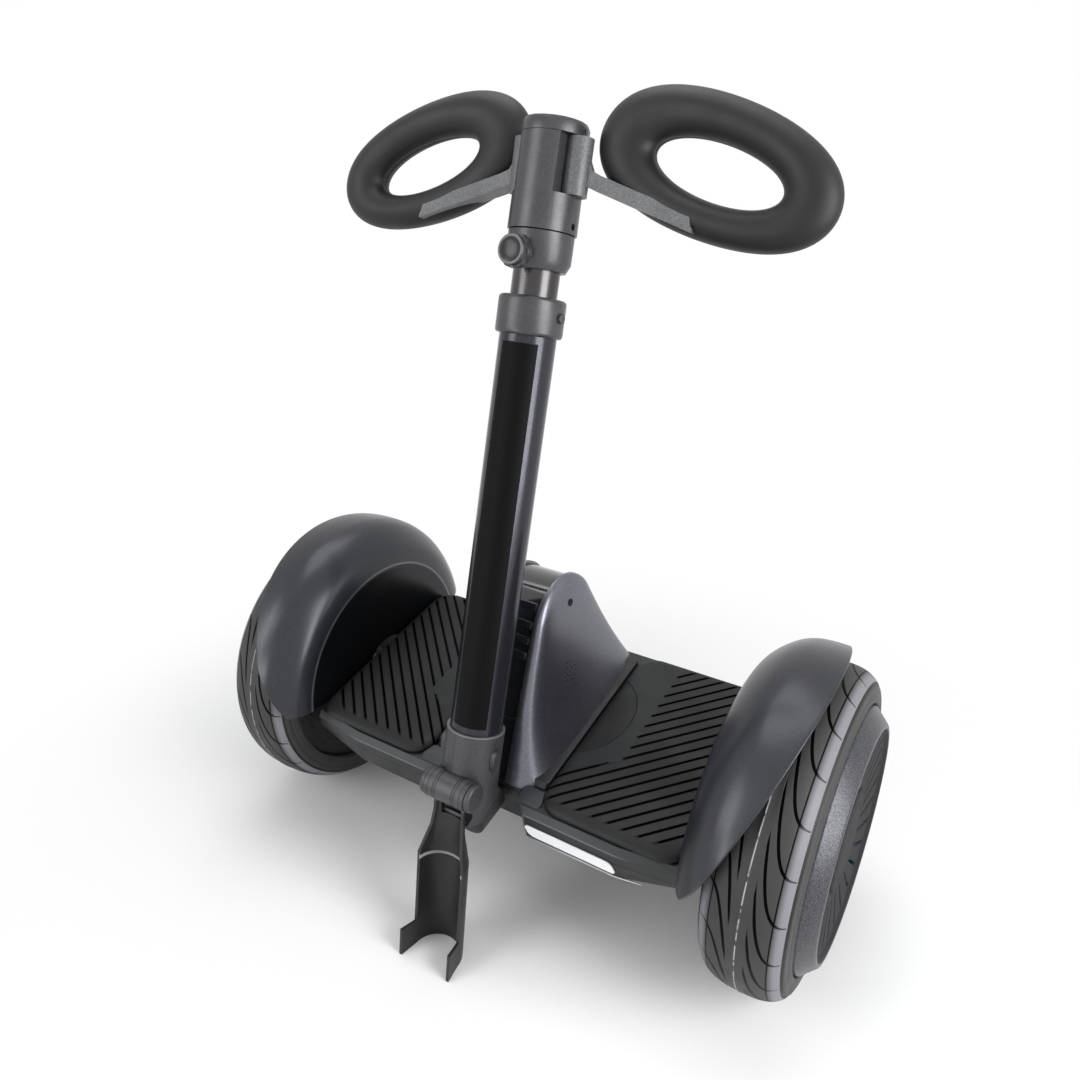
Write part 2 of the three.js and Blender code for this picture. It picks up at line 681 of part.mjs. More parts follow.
function fenderBody() {
  const rows = 18;
  const columns = 10;
  const outer = [];
  const inner = [];
  for (let row = 0; row <= rows; row += 1) {
    const turn = (row / rows) * 2 - 1;
    const angle = radians(FENDER_PEAK_ANGLE + turn * FENDER_HALF_ANGLE);
    const edgeX = FENDER_PEAK_X - (FENDER_PEAK_X - FENDER_TIP_X) * turn * turn;
    const place = ({ x, y }) => new THREE.Vector3(x, y * Math.cos(angle), y * Math.sin(angle));
    const samples = Array.from({ length: columns + 1 }, (_, i) => fenderPoint(edgeX, i - 1, columns - 1));
    outer.push(samples.map((sample) => place(sample.place)));
    inner.push(samples.map((sample) => place(sample.place.clone().addScaledVector(sample.inward, FENDER_WALL))));
  }
  return between(outer, inner);
}

// Joins loops of equally many points into one body with flat ends. Each loop is convex.
function loft(loops) {
  const count = loops[0].length;
  const positions = loops.flat().flatMap((point) => [point.x, point.y, point.z]);
  const id = (loop, i) => loop * count + (i % count);
  const index = [];
  for (let loop = 0; loop < loops.length - 1; loop += 1) {
    for (let i = 0; i < count; i += 1) {
      index.push(id(loop, i), id(loop, i + 1), id(loop + 1, i + 1));
      index.push(id(loop, i), id(loop + 1, i + 1), id(loop + 1, i));
    }
  }
  const last = loops.length - 1;
  for (let i = 1; i < count - 1; i += 1) {
    index.push(id(0, 0), id(0, i + 1), id(0, i));
    index.push(id(last, 0), id(last, i), id(last, i + 1));
  }
  const geometry = new THREE.BufferGeometry();
  geometry.setAttribute('position', new THREE.Float32BufferAttribute(positions, 3));
  geometry.setIndex(index);
  return closedBody(geometry);
}

// Deck. Its outline across X, shrunk by an inset for the hollow inside. The outline is the
// slimmer one of the deck's ends where the step is more than zero.

function deckOutline(inset, step = 0, rise = 0) {
  const half = DECK_HALF_DEPTH - inset - step;
  const rear = [
    [half - DECK_EDGE_CHAMFER, DECK_TOP - inset],
    [half, DECK_TOP - inset - DECK_EDGE_CHAMFER],
    [half, DECK_SPLIT],
    [DECK_SIDE_DEPTH - inset - step, DECK_SIDE_LEVEL + rise],
    [DECK_FLOOR_HALF_DEPTH, DECK_BOTTOM + inset],
  ];
  return [...rear, ...rear.map(([y, z]) => [-y, z]).reverse()];
}

// The deck's body keeps one outline up to the bend and slims from there to its ends.
function deckBody(inset) {
  const place = (x, outline) => outline.map(([y, z]) => new THREE.Vector3(x, y, z));
  const middle = deckOutline(inset);
  const end = deckOutline(inset, DECK_END_STEP, DECK_END_RISE);
  const reach = DECK_HALF_WIDTH - inset;
  return loft([place(-reach, end), place(-DECK_BEND_X, middle), place(DECK_BEND_X, middle), place(reach, end)]);
}

// The notch in the deck's front edge that the stem's foot stands in, seen from above.
function notchBody(margin) {
  const half = NOTCH_HALF_WIDTH + margin;
  const rear = NOTCH_REAR_Y + margin;
  const front = -DECK_HALF_DEPTH - CUT_OVERRUN;
  const mouth = -DECK_HALF_DEPTH + NOTCH_CHAMFER;
  const flare = half + NOTCH_CHAMFER + CUT_OVERRUN;
  const top = DECK_TOP + CUT_OVERRUN;
  const outline = [[-half, rear], [-half, mouth], [-flare, front], [flare, front], [half, mouth], [half, rear]];
  return alongZ(outline, DECK_BOTTOM - CUT_OVERRUN, top);
}

function deckHollow() {
  return cut(deckBody(DECK_WALL), notchBody(DECK_WALL));
}

function slab(from, to) {
  const width = (DECK_HALF_WIDTH + CUT_OVERRUN) * 2;
  const depth = (DECK_HALF_DEPTH + CUT_OVERRUN) * 2;
  return box(width, depth, to - from, 0, 0, (from + to) / 2);
}

const BADGE_FACE_TILT = Math.atan2(DECK_HALF_DEPTH - DECK_SIDE_DEPTH, DECK_SPLIT - DECK_SIDE_LEVEL);
const SHAFT_CLEARANCE = 1;
const axleHoleEnd = DECK_HALF_WIDTH + CUT_OVERRUN;
const axleHole = rod(AXLE_RADIUS + SHAFT_CLEARANCE, -axleHoleEnd, axleHoleEnd, 24, 'x');

function alongYRod(radius, from, to, x, z, segments = 24) {
  return rod(radius, -to, -from, segments).rotateX(Math.PI / 2).translate(x, 0, z);
}

const shaftHoleRadius = PIVOT_SHAFT_RADIUS + SHAFT_CLEARANCE;
const shaftHole = alongYRod(shaftHoleRadius, NOTCH_REAR_Y - CUT_OVERRUN, ARM_FRONT_Y + CUT_OVERRUN, 0, PIVOT_Z);

function upperShellBody() {
  const whole = deckBody(0);
  const below = slab(DECK_BOTTOM - CUT_OVERRUN, DECK_SPLIT);
  return cut(whole, deckHollow(), notchBody(0), below, axleHole, shaftHole, powerButtonHole(), ...lampHoles());
}

function lowerShellBody() {
  const whole = deckBody(0);
  const above = slab(DECK_SPLIT - GAP, DECK_TOP + CUT_OVERRUN);
  const shell = cut(whole, deckHollow(), notchBody(0), above, axleHole, shaftHole, portHole());
  const floor = DECK_BOTTOM + DECK_WALL;
  const postHeight = -BEAM_HEIGHT / 2 - GAP - floor + DECK_WALL / 2;
  const posts = [-1, 1].map((sign) => {
    const middle = -BEAM_HEIGHT / 2 - GAP - postHeight / 2;
    return box(BEAM_POST_WIDTH, BEAM_DEPTH, postHeight, sign * BEAM_POST_X, 0, middle);
  });
  return join(shell, ...posts);
}

// The beam carries both axle ends and, on an arm to the front, the steering bearing.
function frameBody() {
  const beam = box(BEAM_HALF_LENGTH * 2, BEAM_DEPTH, BEAM_HEIGHT);
  const armLength = -BEAM_DEPTH / 2 + CUT_OVERRUN - ARM_FRONT_Y;
  const arm = box(ARM_HALF_WIDTH * 2, armLength, ARM_HALF_HEIGHT * 2, 0, ARM_FRONT_Y + armLength / 2, PIVOT_Z);
  const axleDepth = BEAM_DEPTH + GAP * 2;
  const bores = [-1, 1].map((sign) => {
    const middle = sign * (BEAM_HALF_LENGTH - axleDepth / 2);
    return rod(AXLE_RADIUS + GAP, middle - axleDepth / 2 - GAP, middle + axleDepth / 2 + GAP, 24, 'x');
  });
  const seat = alongYRod(PIVOT_BEARING_RADIUS + GAP, ARM_FRONT_Y - CUT_OVERRUN, PIVOT_SEAT_Y, 0, PIVOT_Z);
  const shaft = alongYRod(PIVOT_SHAFT_RADIUS + GAP, ARM_FRONT_Y - CUT_OVERRUN, PIVOT_SHAFT_END + GAP, 0, PIVOT_Z);
  const pocketDepth = CENTRING_LENGTH + GAP * 2;
  const pocket = box(
    (CENTRING_HALF_WIDTH + GAP) * 2,
    pocketDepth,
    ARM_HALF_HEIGHT * 2,
    0,
    CENTRING_FRONT_Y - GAP + pocketDepth / 2,
    PIVOT_Z + DECK_WALL,
  );
  return cut(join(beam, arm), ...bores, seat, shaft, pocket);
}

function pivotBearingBody() {
  const sleeve = tube(PIVOT_BEARING_RADIUS, PIVOT_SHAFT_RADIUS + GAP, -PIVOT_SEAT_Y + GAP, -ARM_FRONT_Y, 24);
  return sleeve.rotateX(Math.PI / 2).translate(0, 0, PIVOT_Z);
}

// A rubber block round the flatted shaft brings the stem back upright.
function centringBody() {
  const low = -ARM_HALF_HEIGHT + DECK_WALL + GAP;
  const height = -low * 2;
  const middleY = CENTRING_FRONT_Y + CENTRING_LENGTH / 2;
  const block = box(CENTRING_HALF_WIDTH * 2, CENTRING_LENGTH, height, 0, middleY, PIVOT_Z);
  const [front, rear] = [CENTRING_FRONT_Y - CUT_OVERRUN, PIVOT_SHAFT_END + CUT_OVERRUN];
  return cut(block, alongYRod(PIVOT_SHAFT_RADIUS + GAP, front, rear, 0, PIVOT_Z));
}

function matBody() {
  const outline = (inset) => (
    roundedRectangle(MAT_INNER_X + inset, MAT_OUTER_X, MAT_FRONT_Y + inset, MAT_REAR_Y - inset, MAT_CORNER, 5)
  );
  const level = (z, inset) => outline(inset).map(([x, y]) => new THREE.Vector3(x, y, z));
  const foot = DECK_TOP + GAP;
  const top = foot + MAT_THICKNESS;
  const step = MAT_EDGE_ROUND * ROUND_STEP_SHARE;
  return loft([level(foot, 0), level(top - MAT_EDGE_ROUND, 0), level(top - step, step), level(top, MAT_EDGE_ROUND)]);
}

function batteryBody() {
  const foot = DECK_BOTTOM + DECK_WALL + GAP;
  const outline = roundedRectangle(-BATTERY_WIDTH / 2, BATTERY_WIDTH / 2, foot, foot + BATTERY_HEIGHT, DECK_WALL, 2);
  return alongY(outline, BATTERY_FRONT_Y, BATTERY_FRONT_Y + BATTERY_DEPTH);
}

function boardBody() {
  const foot = DECK_BOTTOM + DECK_WALL + BATTERY_HEIGHT + GAP * 2;
  const middleY = BATTERY_FRONT_Y + BATTERY_DEPTH / 2;
  const plate = box(BOARD_WIDTH, BOARD_DEPTH, BOARD_THICKNESS, 0, middleY, foot + BOARD_THICKNESS / 2);
  const rise = BOARD_THICKNESS + BOARD_PART_HEIGHT / 2 - GAP;
  const sink = box(BOARD_WIDTH / 3, BOARD_DEPTH / 2, BOARD_PART_HEIGHT, -BOARD_WIDTH / 4, middleY, foot + rise);
  const plug = box(BOARD_WIDTH / 5, BOARD_DEPTH / 4, BOARD_PART_HEIGHT, BOARD_WIDTH / 4, middleY, foot + rise);
  return join(plate, sink, plug);
}

const REAR_WALL_MIDDLE = DECK_SPLIT + (DECK_TOP - DECK_EDGE_CHAMFER - DECK_SPLIT) / 2;

function powerButtonHole() {
  const outside = DECK_HALF_DEPTH + CUT_OVERRUN;
  return alongYRod(BUTTON_RADIUS + GAP, outside - CUT_OVERRUN * 2, outside, BUTTON_X, REAR_WALL_MIDDLE);
}

function powerButtonBody() {
  const face = DECK_HALF_DEPTH + BUTTON_TRAVEL;
  return alongYRod(BUTTON_RADIUS, face - BUTTON_DEPTH, face, BUTTON_X, REAR_WALL_MIDDLE);
}

function tailLampBody(sign) {
  const middle = DECK_HALF_DEPTH + GAP - LAMP_DEPTH / 2;
  return box(LAMP_WIDTH, LAMP_DEPTH, LAMP_HEIGHT, sign * LAMP_X, middle, REAR_WALL_MIDDLE);
}

function lampHoles() {
  const width = LAMP_WIDTH + GAP * 2;
  const height = LAMP_HEIGHT + GAP * 2;
  return [-1, 1].map((sign) => box(width, CUT_OVERRUN * 2, height, sign * LAMP_X, DECK_HALF_DEPTH, REAR_WALL_MIDDLE));
}

// Puts a body drawn round the middle of the slanting wall, with +Y outward, onto the deck's rear.
function ontoRearSlope(geometry, x) {
  const middleY = (DECK_HALF_DEPTH + DECK_SIDE_DEPTH) / 2;
  const middleZ = (DECK_SPLIT + DECK_SIDE_LEVEL) / 2;
  return geometry.rotateX(-BADGE_FACE_TILT).translate(x, middleY, middleZ);
}

function portHole() {
  return ontoRearSlope(alongYRod(PORT_RADIUS + GAP, -PORT_DEPTH, CUT_OVERRUN, 0, 0), PORT_X);
}

function portBody() {
  const body = alongYRod(PORT_RADIUS, -PORT_DEPTH, 0, 0, 0);
  return ontoRearSlope(cut(body, alongYRod(PORT_PIN_RADIUS, -PORT_DEPTH / 2, CUT_OVERRUN, 0, 0, 16)), PORT_X);
}

function portCapBody() {
  return ontoRearSlope(alongYRod(PORT_RADIUS + DECK_WALL / 2, GAP, GAP + PORT_CAP_THICKNESS, 0, 0), PORT_X);
}

function footBody(sign) {
  const top = DECK_BOTTOM - GAP;
  const low = top - FOOT_HEIGHT;
  return turned([[0, low], [FOOT_RADIUS - DECK_WALL / 2, low], [FOOT_RADIUS, top], [0, top]], 20)
    .translate(sign * FOOT_X, FOOT_Y, 0);
}

// The blank badge plate lies on the wall under the deck's front edge.
function badgeBody() {
  const low = BADGE_RISE - BADGE_HEIGHT / 2;
  const outline = roundedRectangle(-BADGE_WIDTH / 2, BADGE_WIDTH / 2, low, low + BADGE_HEIGHT, BADGE_HEIGHT / 3, 3);
  const plate = alongY(outline, -BADGE_THICKNESS - GAP, -GAP);
  const middleY = (DECK_HALF_DEPTH + DECK_SIDE_DEPTH) / 2;
  const middleZ = (DECK_SPLIT + DECK_SIDE_LEVEL) / 2;
  return plate.rotateX(BADGE_FACE_TILT).translate(BADGE_CENTRE_X, -middleY, middleZ);
}

// Hump. Its outline from the side is two slanting lines and the round crest between them.

function humpSpan(z, inset) {
  const radius = HUMP_CREST_RADIUS - inset;
  const side = (lean, sign) => {
    const normal = [sign * Math.cos(radians(lean)), Math.sin(radians(lean))];
    const startZ = HUMP_CREST_Z + radius * normal[1];
    if (z > startZ) return HUMP_CREST_Y + sign * Math.sqrt(Math.max(0, radius ** 2 - (z - HUMP_CREST_Z) ** 2));
    const startY = HUMP_CREST_Y + radius * normal[0];
    return startY + sign * (startZ - z) * Math.tan(radians(lean));
  };
  return [side(HUMP_FRONT_ANGLE, -1), side(HUMP_REAR_ANGLE, 1)];
}

// Heights that lie closer together towards the crest.
function humpHeights(inset, steps) {
  const foot = DECK_TOP + GAP;
  const top = HUMP_CREST_Z + HUMP_CREST_RADIUS - inset;
  return Array.from({ length: steps + 1 }, (_, i) => top - (top - foot) * (1 - i / steps) ** 2);
}

function humpHalfWidth(z, inset) {
  const foot = DECK_TOP + GAP;
  const top = HUMP_CREST_Z + HUMP_CREST_RADIUS - inset;
  const rise = (z - foot) / (top - foot);
  const side = HUMP_TOP_HALF_WIDTH + (HUMP_BASE_HALF_WIDTH - HUMP_TOP_HALF_WIDTH) * (1 - rise) ** 3 - inset;
  return HUMP_BAND_HALF + (side - HUMP_BAND_HALF) * Math.sqrt(Math.max(0, 1 - rise ** 8));
}

// One side shell. Each row is a level, each column a step round from the front edge to the rear.
function humpShellBody() {
  const columns = 12;
  const grid = (inset) => humpHeights(inset, 10).map((z) => {
    const [front, rear] = humpSpan(z, inset);
    const half = humpHalfWidth(z, inset);
    return Array.from({ length: columns + 1 }, (_, i) => {
      const angle = Math.PI * (1 - i / columns);
      const across = Math.sign(Math.cos(angle)) * Math.abs(Math.cos(angle)) ** HUMP_CORNER_SHARE;
      const out = Math.sin(angle) ** HUMP_CORNER_SHARE;
      const x = HUMP_BAND_HALF + (half - HUMP_BAND_HALF) * (i === 0 || i === columns ? 0 : out);
      return new THREE.Vector3(x, (front + rear) / 2 + (rear - front) / 2 * across, z);
    });
  });
  const outer = grid(0);
  const inner = grid(HUMP_WALL);
  const body = between(outer, inner);
  return cut(body, humpPeephole());
}

function humpPeephole() {
  return acrossX(HUMP_PEEPHOLE_RADIUS, HUMP_BAND_HALF, HUMP_BASE_HALF_WIDTH, HUMP_PEEPHOLE_Y, HUMP_PEEPHOLE_Z, 16);
}

function humpBandBody() {
  const outline = (inset) => {
    const heights = humpHeights(inset, 14);
    const fronts = heights.map((z) => [humpSpan(z, inset)[0], z]);
    const rears = heights.map((z) => [humpSpan(z, inset)[1], z]).reverse();
    return [...fronts, ...rears.slice(1)];
  };
  const outer = outline(HUMP_BAND_INSET);
  const inner = outline(HUMP_BAND_INSET + HUMP_BAND_WALL).reverse();
  const half = HUMP_BAND_HALF - GAP;
  const band = alongX([...outer, ...inner], -half, half);
  return join(band, ...humpRidges());
}

// Short raised steps down the front of the band.
function humpRidges() {
  const lean = radians(HUMP_FRONT_ANGLE);
  return Array.from({ length: HUMP_RIDGE_COUNT }, (_, i) => {
    const z = HUMP_CREST_Z + HUMP_CREST_RADIUS * Math.sin(lean) - HUMP_RIDGE_PITCH * (i - 1);
    const [y] = humpSpan(z, HUMP_BAND_INSET);
    const ridge = box(HUMP_BAND_HALF * 2 - CUT_OVERRUN, HUMP_RIDGE_HEIGHT * 2, HUMP_RIDGE_LENGTH);
    return ridge.rotateX(-lean).translate(0, y, z);
  });
}

// Steering pivot. The hub, its shaft and the socket lean together about a shaft along Y.

// Takes a body from the deck's frame into the stem's frame.
function intoStemFrame(geometry) {
  return geometry.translate(0, -RIM_Y, -RIM_Z).rotateX(radians(STEM_ANGLE));
}

function steeringShaftBody() {
  const foot = PIVOT_HUB_FRONT + DECK_WALL;
  return alongYRod(PIVOT_SHAFT_RADIUS, foot, PIVOT_SHAFT_END, 0, PIVOT_Z);
}

function acrossX(radius, from, to, y, s, segments = 24) {
  return rod(radius, from, to, segments, 'x').translate(0, y, s);
}

function releaseOutline(margin) {
  const width = RELEASE_HALF_WIDTH + margin;
  const height = RELEASE_HALF_HEIGHT + margin;
  return roundedRectangle(RELEASE_Y - width, RELEASE_Y + width, RELEASE_S - height, RELEASE_S + height, width - GAP, 3);
}

function releaseHole(sign) {
  const reach = [sign * (OUTER_TUBE_RADIUS - CUT_OVERRUN), sign * (SOCKET_RADIUS + CUT_OVERRUN)];
  return alongX(releaseOutline(GAP), Math.min(...reach), Math.max(...reach));
}

function releaseButtonBody(sign) {
  const reach = [sign * RELEASE_INNER_X, sign * RELEASE_OUTER_X];
  return alongX(releaseOutline(0), Math.min(...reach), Math.max(...reach));
}

function socketBody() {
  const cup = turned([
    [0, SOCKET_BOTTOM],
    [SOCKET_BOTTOM_RADIUS, SOCKET_BOTTOM],
    [SOCKET_RADIUS, SOCKET_CONE_TOP],
    [SOCKET_RADIUS, 0],
    [OUTER_TUBE_RADIUS + GAP, 0],
    [OUTER_TUBE_RADIUS + GAP, SOCKET_BORE_FOOT],
    [0, SOCKET_BORE_FOOT],
  ], 28);
  const hub = intoStemFrame(alongYRod(PIVOT_HUB_RADIUS, PIVOT_HUB_FRONT, PIVOT_HUB_REAR, 0, PIVOT_Z, 24));
  const shaftBore = intoStemFrame(
    alongYRod(PIVOT_SHAFT_RADIUS + GAP, PIVOT_HUB_FRONT + DECK_WALL - GAP, PIVOT_HUB_REAR + CUT_OVERRUN, 0, PIVOT_Z),
  );
  const hingeY = -KICK_HINGE_FRONT;
  const knuckleHalf = KICK_KNUCKLE_HALF + GAP;
  const lugs = [-1, 1].map((sign) => {
    const ends = [sign * knuckleHalf, sign * KICK_LUG_OUTER];
    return acrossX(KICK_BARREL_RADIUS, Math.min(...ends), Math.max(...ends), hingeY, KICK_HINGE_S, 24);
  });
  const pocket = acrossX(KICK_BARREL_RADIUS + GAP * 2, -knuckleHalf, knuckleHalf, hingeY, KICK_HINGE_S, 24);
  const slotRear = hingeY + KICK_BARREL_RADIUS + GAP * 2;
  const slotDepth = SOCKET_RADIUS + CUT_OVERRUN * 3;
  const slotHeight = KICK_HINGE_S - SOCKET_BOTTOM + CUT_OVERRUN * 2;
  const slot = box(knuckleHalf * 2, slotDepth, slotHeight, 0, slotRear - slotDepth / 2, KICK_HINGE_S - slotHeight / 2);
  const pinHole = acrossX(KICK_PIN_RADIUS + GAP, -KICK_CAP_OUTER, KICK_CAP_OUTER, hingeY, KICK_HINGE_S);
  const neckReach = SOCKET_RADIUS * 2;
  const [neckY, neckS] = [NECK_SLOT_REAR_Y - neckReach / 2, NECK_SLOT_TOP_S - neckReach / 2];
  const neckSlot = box(neckReach, neckReach, neckReach, 0, neckY, neckS);
  const capSeats = [-1, 1].map((sign) => {
    const ends = [sign * KICK_LUG_OUTER, sign * (KICK_CAP_OUTER + CUT_OVERRUN)];
    return acrossX(KICK_CAP_RADIUS + GAP * 2, Math.min(...ends), Math.max(...ends), hingeY, KICK_HINGE_S);
  });
  const holes = [pinHole, ...capSeats, shaftBore, releaseHole(-1), releaseHole(1)];
  return cut(join(cup, hub, ...lugs), pocket, slot, neckSlot, ...holes);
}

function kickPinBody() {
  const seat = KICK_LUG_OUTER + GAP;
  const edge = KICK_CAP_OUTER - DECK_WALL / 2;
  const half = [
    [KICK_PIN_RADIUS, seat],
    [KICK_CAP_RADIUS, seat],
    [KICK_CAP_RADIUS, edge],
    [KICK_CAP_RADIUS - DECK_WALL / 2, KICK_CAP_OUTER],
    [0, KICK_CAP_OUTER],
  ];
  const other = half.map(([radius, x]) => [radius, -x]).reverse();
  return turned([...other, ...half], 20, 'x');
}

// Kickstand, in a frame on its hinge with the channel running straight down.

function kickChannelGrid(radius, footDrop) {
  const steps = 16;
  const rows = Array.from({ length: steps + 1 }, (_, i) => {
    const angle = (i / steps - 0.5) * Math.PI;
    return [radius * Math.sin(angle), radius * Math.cos(angle) - KICK_CHANNEL_AXIS];
  });
  const columns = [-KICK_CHANNEL_TOP, -KICK_FOOT - footDrop];
  return rows.map(([x, y]) => columns.map((z) => new THREE.Vector3(x, y, z)));
}

// The neck runs from the barrel's width down to the channel's. Each row is a step round its back.
function kickNeckGrid(sideInset, backInset) {
  const steps = 12;
  return Array.from({ length: steps + 1 }, (_, i) => {
    const angle = (i / steps - 0.5) * Math.PI;
    return KICK_NECK_SHARES.map(([down, half, front, rear]) => {
      const side = half * KICK_CHANNEL_RADIUS - sideInset;
      const depth = (rear - front) * KICK_CHANNEL_RADIUS - backInset;
      const y = front * KICK_CHANNEL_RADIUS + depth * Math.cos(angle);
      return new THREE.Vector3(side * Math.sin(angle), y, -down * KICK_CHANNEL_TOP);
    });
  });
}

function kickEar(sign) {
  const inner = KICK_CHANNEL_RADIUS - KICK_WALL;
  const rearY = -KICK_CHANNEL_AXIS + GAP;
  const frontY = -KICK_CHANNEL_AXIS - KICK_EAR_FRONT;
  const section = [
    [inner, rearY],
    [KICK_CHANNEL_RADIUS, rearY],
    [KICK_CHANNEL_RADIUS + KICK_EAR_FLARE, frontY],
    [inner + KICK_EAR_FLARE, frontY],
  ].map(([x, y]) => [sign * x, y]);
  return alongZ(section, -KICK_FOOT - CUT_OVERRUN, -KICK_FOOT + KICK_EAR_HEIGHT);
}

function kickstandBody(floorAngle) {
  const outer = kickChannelGrid(KICK_CHANNEL_RADIUS, CUT_OVERRUN);
  const channel = between(outer, kickChannelGrid(KICK_CHANNEL_RADIUS - KICK_WALL, CUT_OVERRUN));
  const knuckle = acrossX(KICK_BARREL_RADIUS, -KICK_KNUCKLE_HALF, KICK_KNUCKLE_HALF, 0, 0, 24);
  const neck = between(kickNeckGrid(0, 0), kickNeckGrid(KICK_WALL, KICK_NECK_THICKNESS));
  const windowMiddle = KICK_WINDOW_TOP - KICK_WINDOW_HEIGHT / 2;
  const window = box(KICK_WINDOW_HALF * 2, CUT_OVERRUN * 6, KICK_WINDOW_HEIGHT, 0, 0, windowMiddle);
  const bore = acrossX(KICK_PIN_RADIUS + GAP, -KICK_CAP_OUTER, KICK_CAP_OUTER, 0, 0);
  const earFrontY = -KICK_CHANNEL_AXIS - KICK_EAR_FRONT;
  const floorBlock = box(KICK_FOOT, KICK_FOOT, KICK_FOOT, 0, 0, -KICK_FOOT / 2);
  floorBlock.rotateX(floorAngle).translate(0, earFrontY, -KICK_FOOT);
  const whole = join(channel, knuckle, neck, kickEar(-1), kickEar(1));
  return cut(whole, window, bore, floorBlock);
}

// Stem tubes, in the stem's frame, with the heights counted from the socket's rim.

function outerTubeBody() {
  const inner = OUTER_TUBE_RADIUS - OUTER_TUBE_WALL;
  const wall = tube(OUTER_TUBE_RADIUS, inner, OUTER_TUBE_FOOT, OUTER_TUBE_TOP, 32);
  return cut(wall, releaseHole(-1), releaseHole(1));
}

function collarBody() {
  const body = turned([
    [OUTER_TUBE_RADIUS + GAP, COLLAR_BOTTOM],
    [COLLAR_RADIUS - COLLAR_ROUND, COLLAR_BOTTOM],
    [COLLAR_RADIUS - COLLAR_ROUND * ROUND_STEP_SHARE, COLLAR_BOTTOM + COLLAR_ROUND * ROUND_STEP_SHARE],
    [COLLAR_RADIUS, COLLAR_BOTTOM + COLLAR_ROUND],
    [COLLAR_RADIUS, COLLAR_TOP - COLLAR_ROUND],
    [COLLAR_RADIUS - COLLAR_ROUND * ROUND_STEP_SHARE, COLLAR_TOP - COLLAR_ROUND * ROUND_STEP_SHARE],
    [COLLAR_RADIUS - COLLAR_ROUND, COLLAR_TOP],
    [INNER_TUBE_RADIUS + GAP, COLLAR_TOP],
    [INNER_TUBE_RADIUS + GAP, OUTER_TUBE_TOP + GAP],
    [OUTER_TUBE_RADIUS + GAP, OUTER_TUBE_TOP + GAP],
  ], 28);
  const end = COLLAR_RADIUS + CUT_OVERRUN;
  return cut(body, acrossX(COLLAR_SCREW_RADIUS + GAP, OUTER_TUBE_RADIUS, end, 0, COLLAR_SCREW_S, 16));
}

function collarScrewBody() {
  const seat = COLLAR_RADIUS + GAP;
  const head = seat + COLLAR_SCREW_HEAD_OUT;
  return turned([
    [0, OUTER_TUBE_RADIUS + GAP],
    [COLLAR_SCREW_RADIUS, OUTER_TUBE_RADIUS + GAP],
    [COLLAR_SCREW_RADIUS, seat],
    [COLLAR_SCREW_HEAD_RADIUS, seat],
    [COLLAR_SCREW_HEAD_RADIUS, head],
    [0, head],
  ], 16, 'x').translate(0, 0, COLLAR_SCREW_S);
}

function innerTubeBody() {
  return tube(INNER_TUBE_RADIUS, INNER_TUBE_RADIUS - INNER_TUBE_WALL, INNER_TUBE_FOOT, INNER_TUBE_TOP, 36);
}

function clampBody() {
  const bore = INNER_TUBE_RADIUS + GAP;
  const sleeve = turned([
    [bore, CLAMP_BOTTOM],
    [CLAMP_FOOT_RADIUS, CLAMP_BOTTOM],
    [CLAMP_RADIUS, CLAMP_BOTTOM + COLLAR_ROUND * 2],
    [CLAMP_RADIUS, CLAMP_TOP],
    [bore, CLAMP_TOP],
  ], 28);
  const boss = alongYRod(CLAMP_BOSS_RADIUS, KNOB_BACK_Y + GAP, -CLAMP_FOOT_RADIUS, 0, KNOB_S);
  const screwHole = alongYRod(KNOB_SCREW_RADIUS + GAP, KNOB_BACK_Y - CUT_OVERRUN, -INNER_TUBE_RADIUS, 0, KNOB_S, 16);
  return cut(join(sleeve, boss), screwHole);
}

function knobBody() {
  const steps = KNOB_LOBE_COUNT * 6;
  const outline = Array.from({ length: steps }, (_, i) => {
    const angle = (i / steps) * TAU;
    const radius = KNOB_RADIUS - KNOB_LOBE_DEPTH * (1 - Math.cos(angle * KNOB_LOBE_COUNT)) / 2;
    return [radius * Math.cos(angle), KNOB_S + radius * Math.sin(angle)];
  });
  const grip = alongY(outline, KNOB_FACE_Y, KNOB_BACK_Y);
  const dish = alongYRod(KNOB_DISH_RADIUS, KNOB_FACE_Y - CUT_OVERRUN, KNOB_FACE_Y + KNOB_DISH_DEPTH, 0, KNOB_S);
  const screw = alongYRod(KNOB_SCREW_RADIUS, KNOB_BACK_Y - DECK_WALL, -INNER_TUBE_RADIUS - GAP, 0, KNOB_S, 16);
  return join(cut(grip, dish), screw);
}

// Head. A facetted housing with an open slot on each side for the arm's knuckle.

function facetLoop(radius, s) {
  return Array.from({ length: HEAD_FACET_COUNT }, (_, i) => {
    const angle = ((i + 0.5) / HEAD_FACET_COUNT) * TAU;
    return new THREE.Vector3(radius * Math.sin(angle), radius * Math.cos(angle), s);
  });
}

function pinHole(sign, from, to) {
  return rod(ARM_PIN_RADIUS + GAP, from, to, 16).translate(sign * KNUCKLE_X, 0, 0);
}

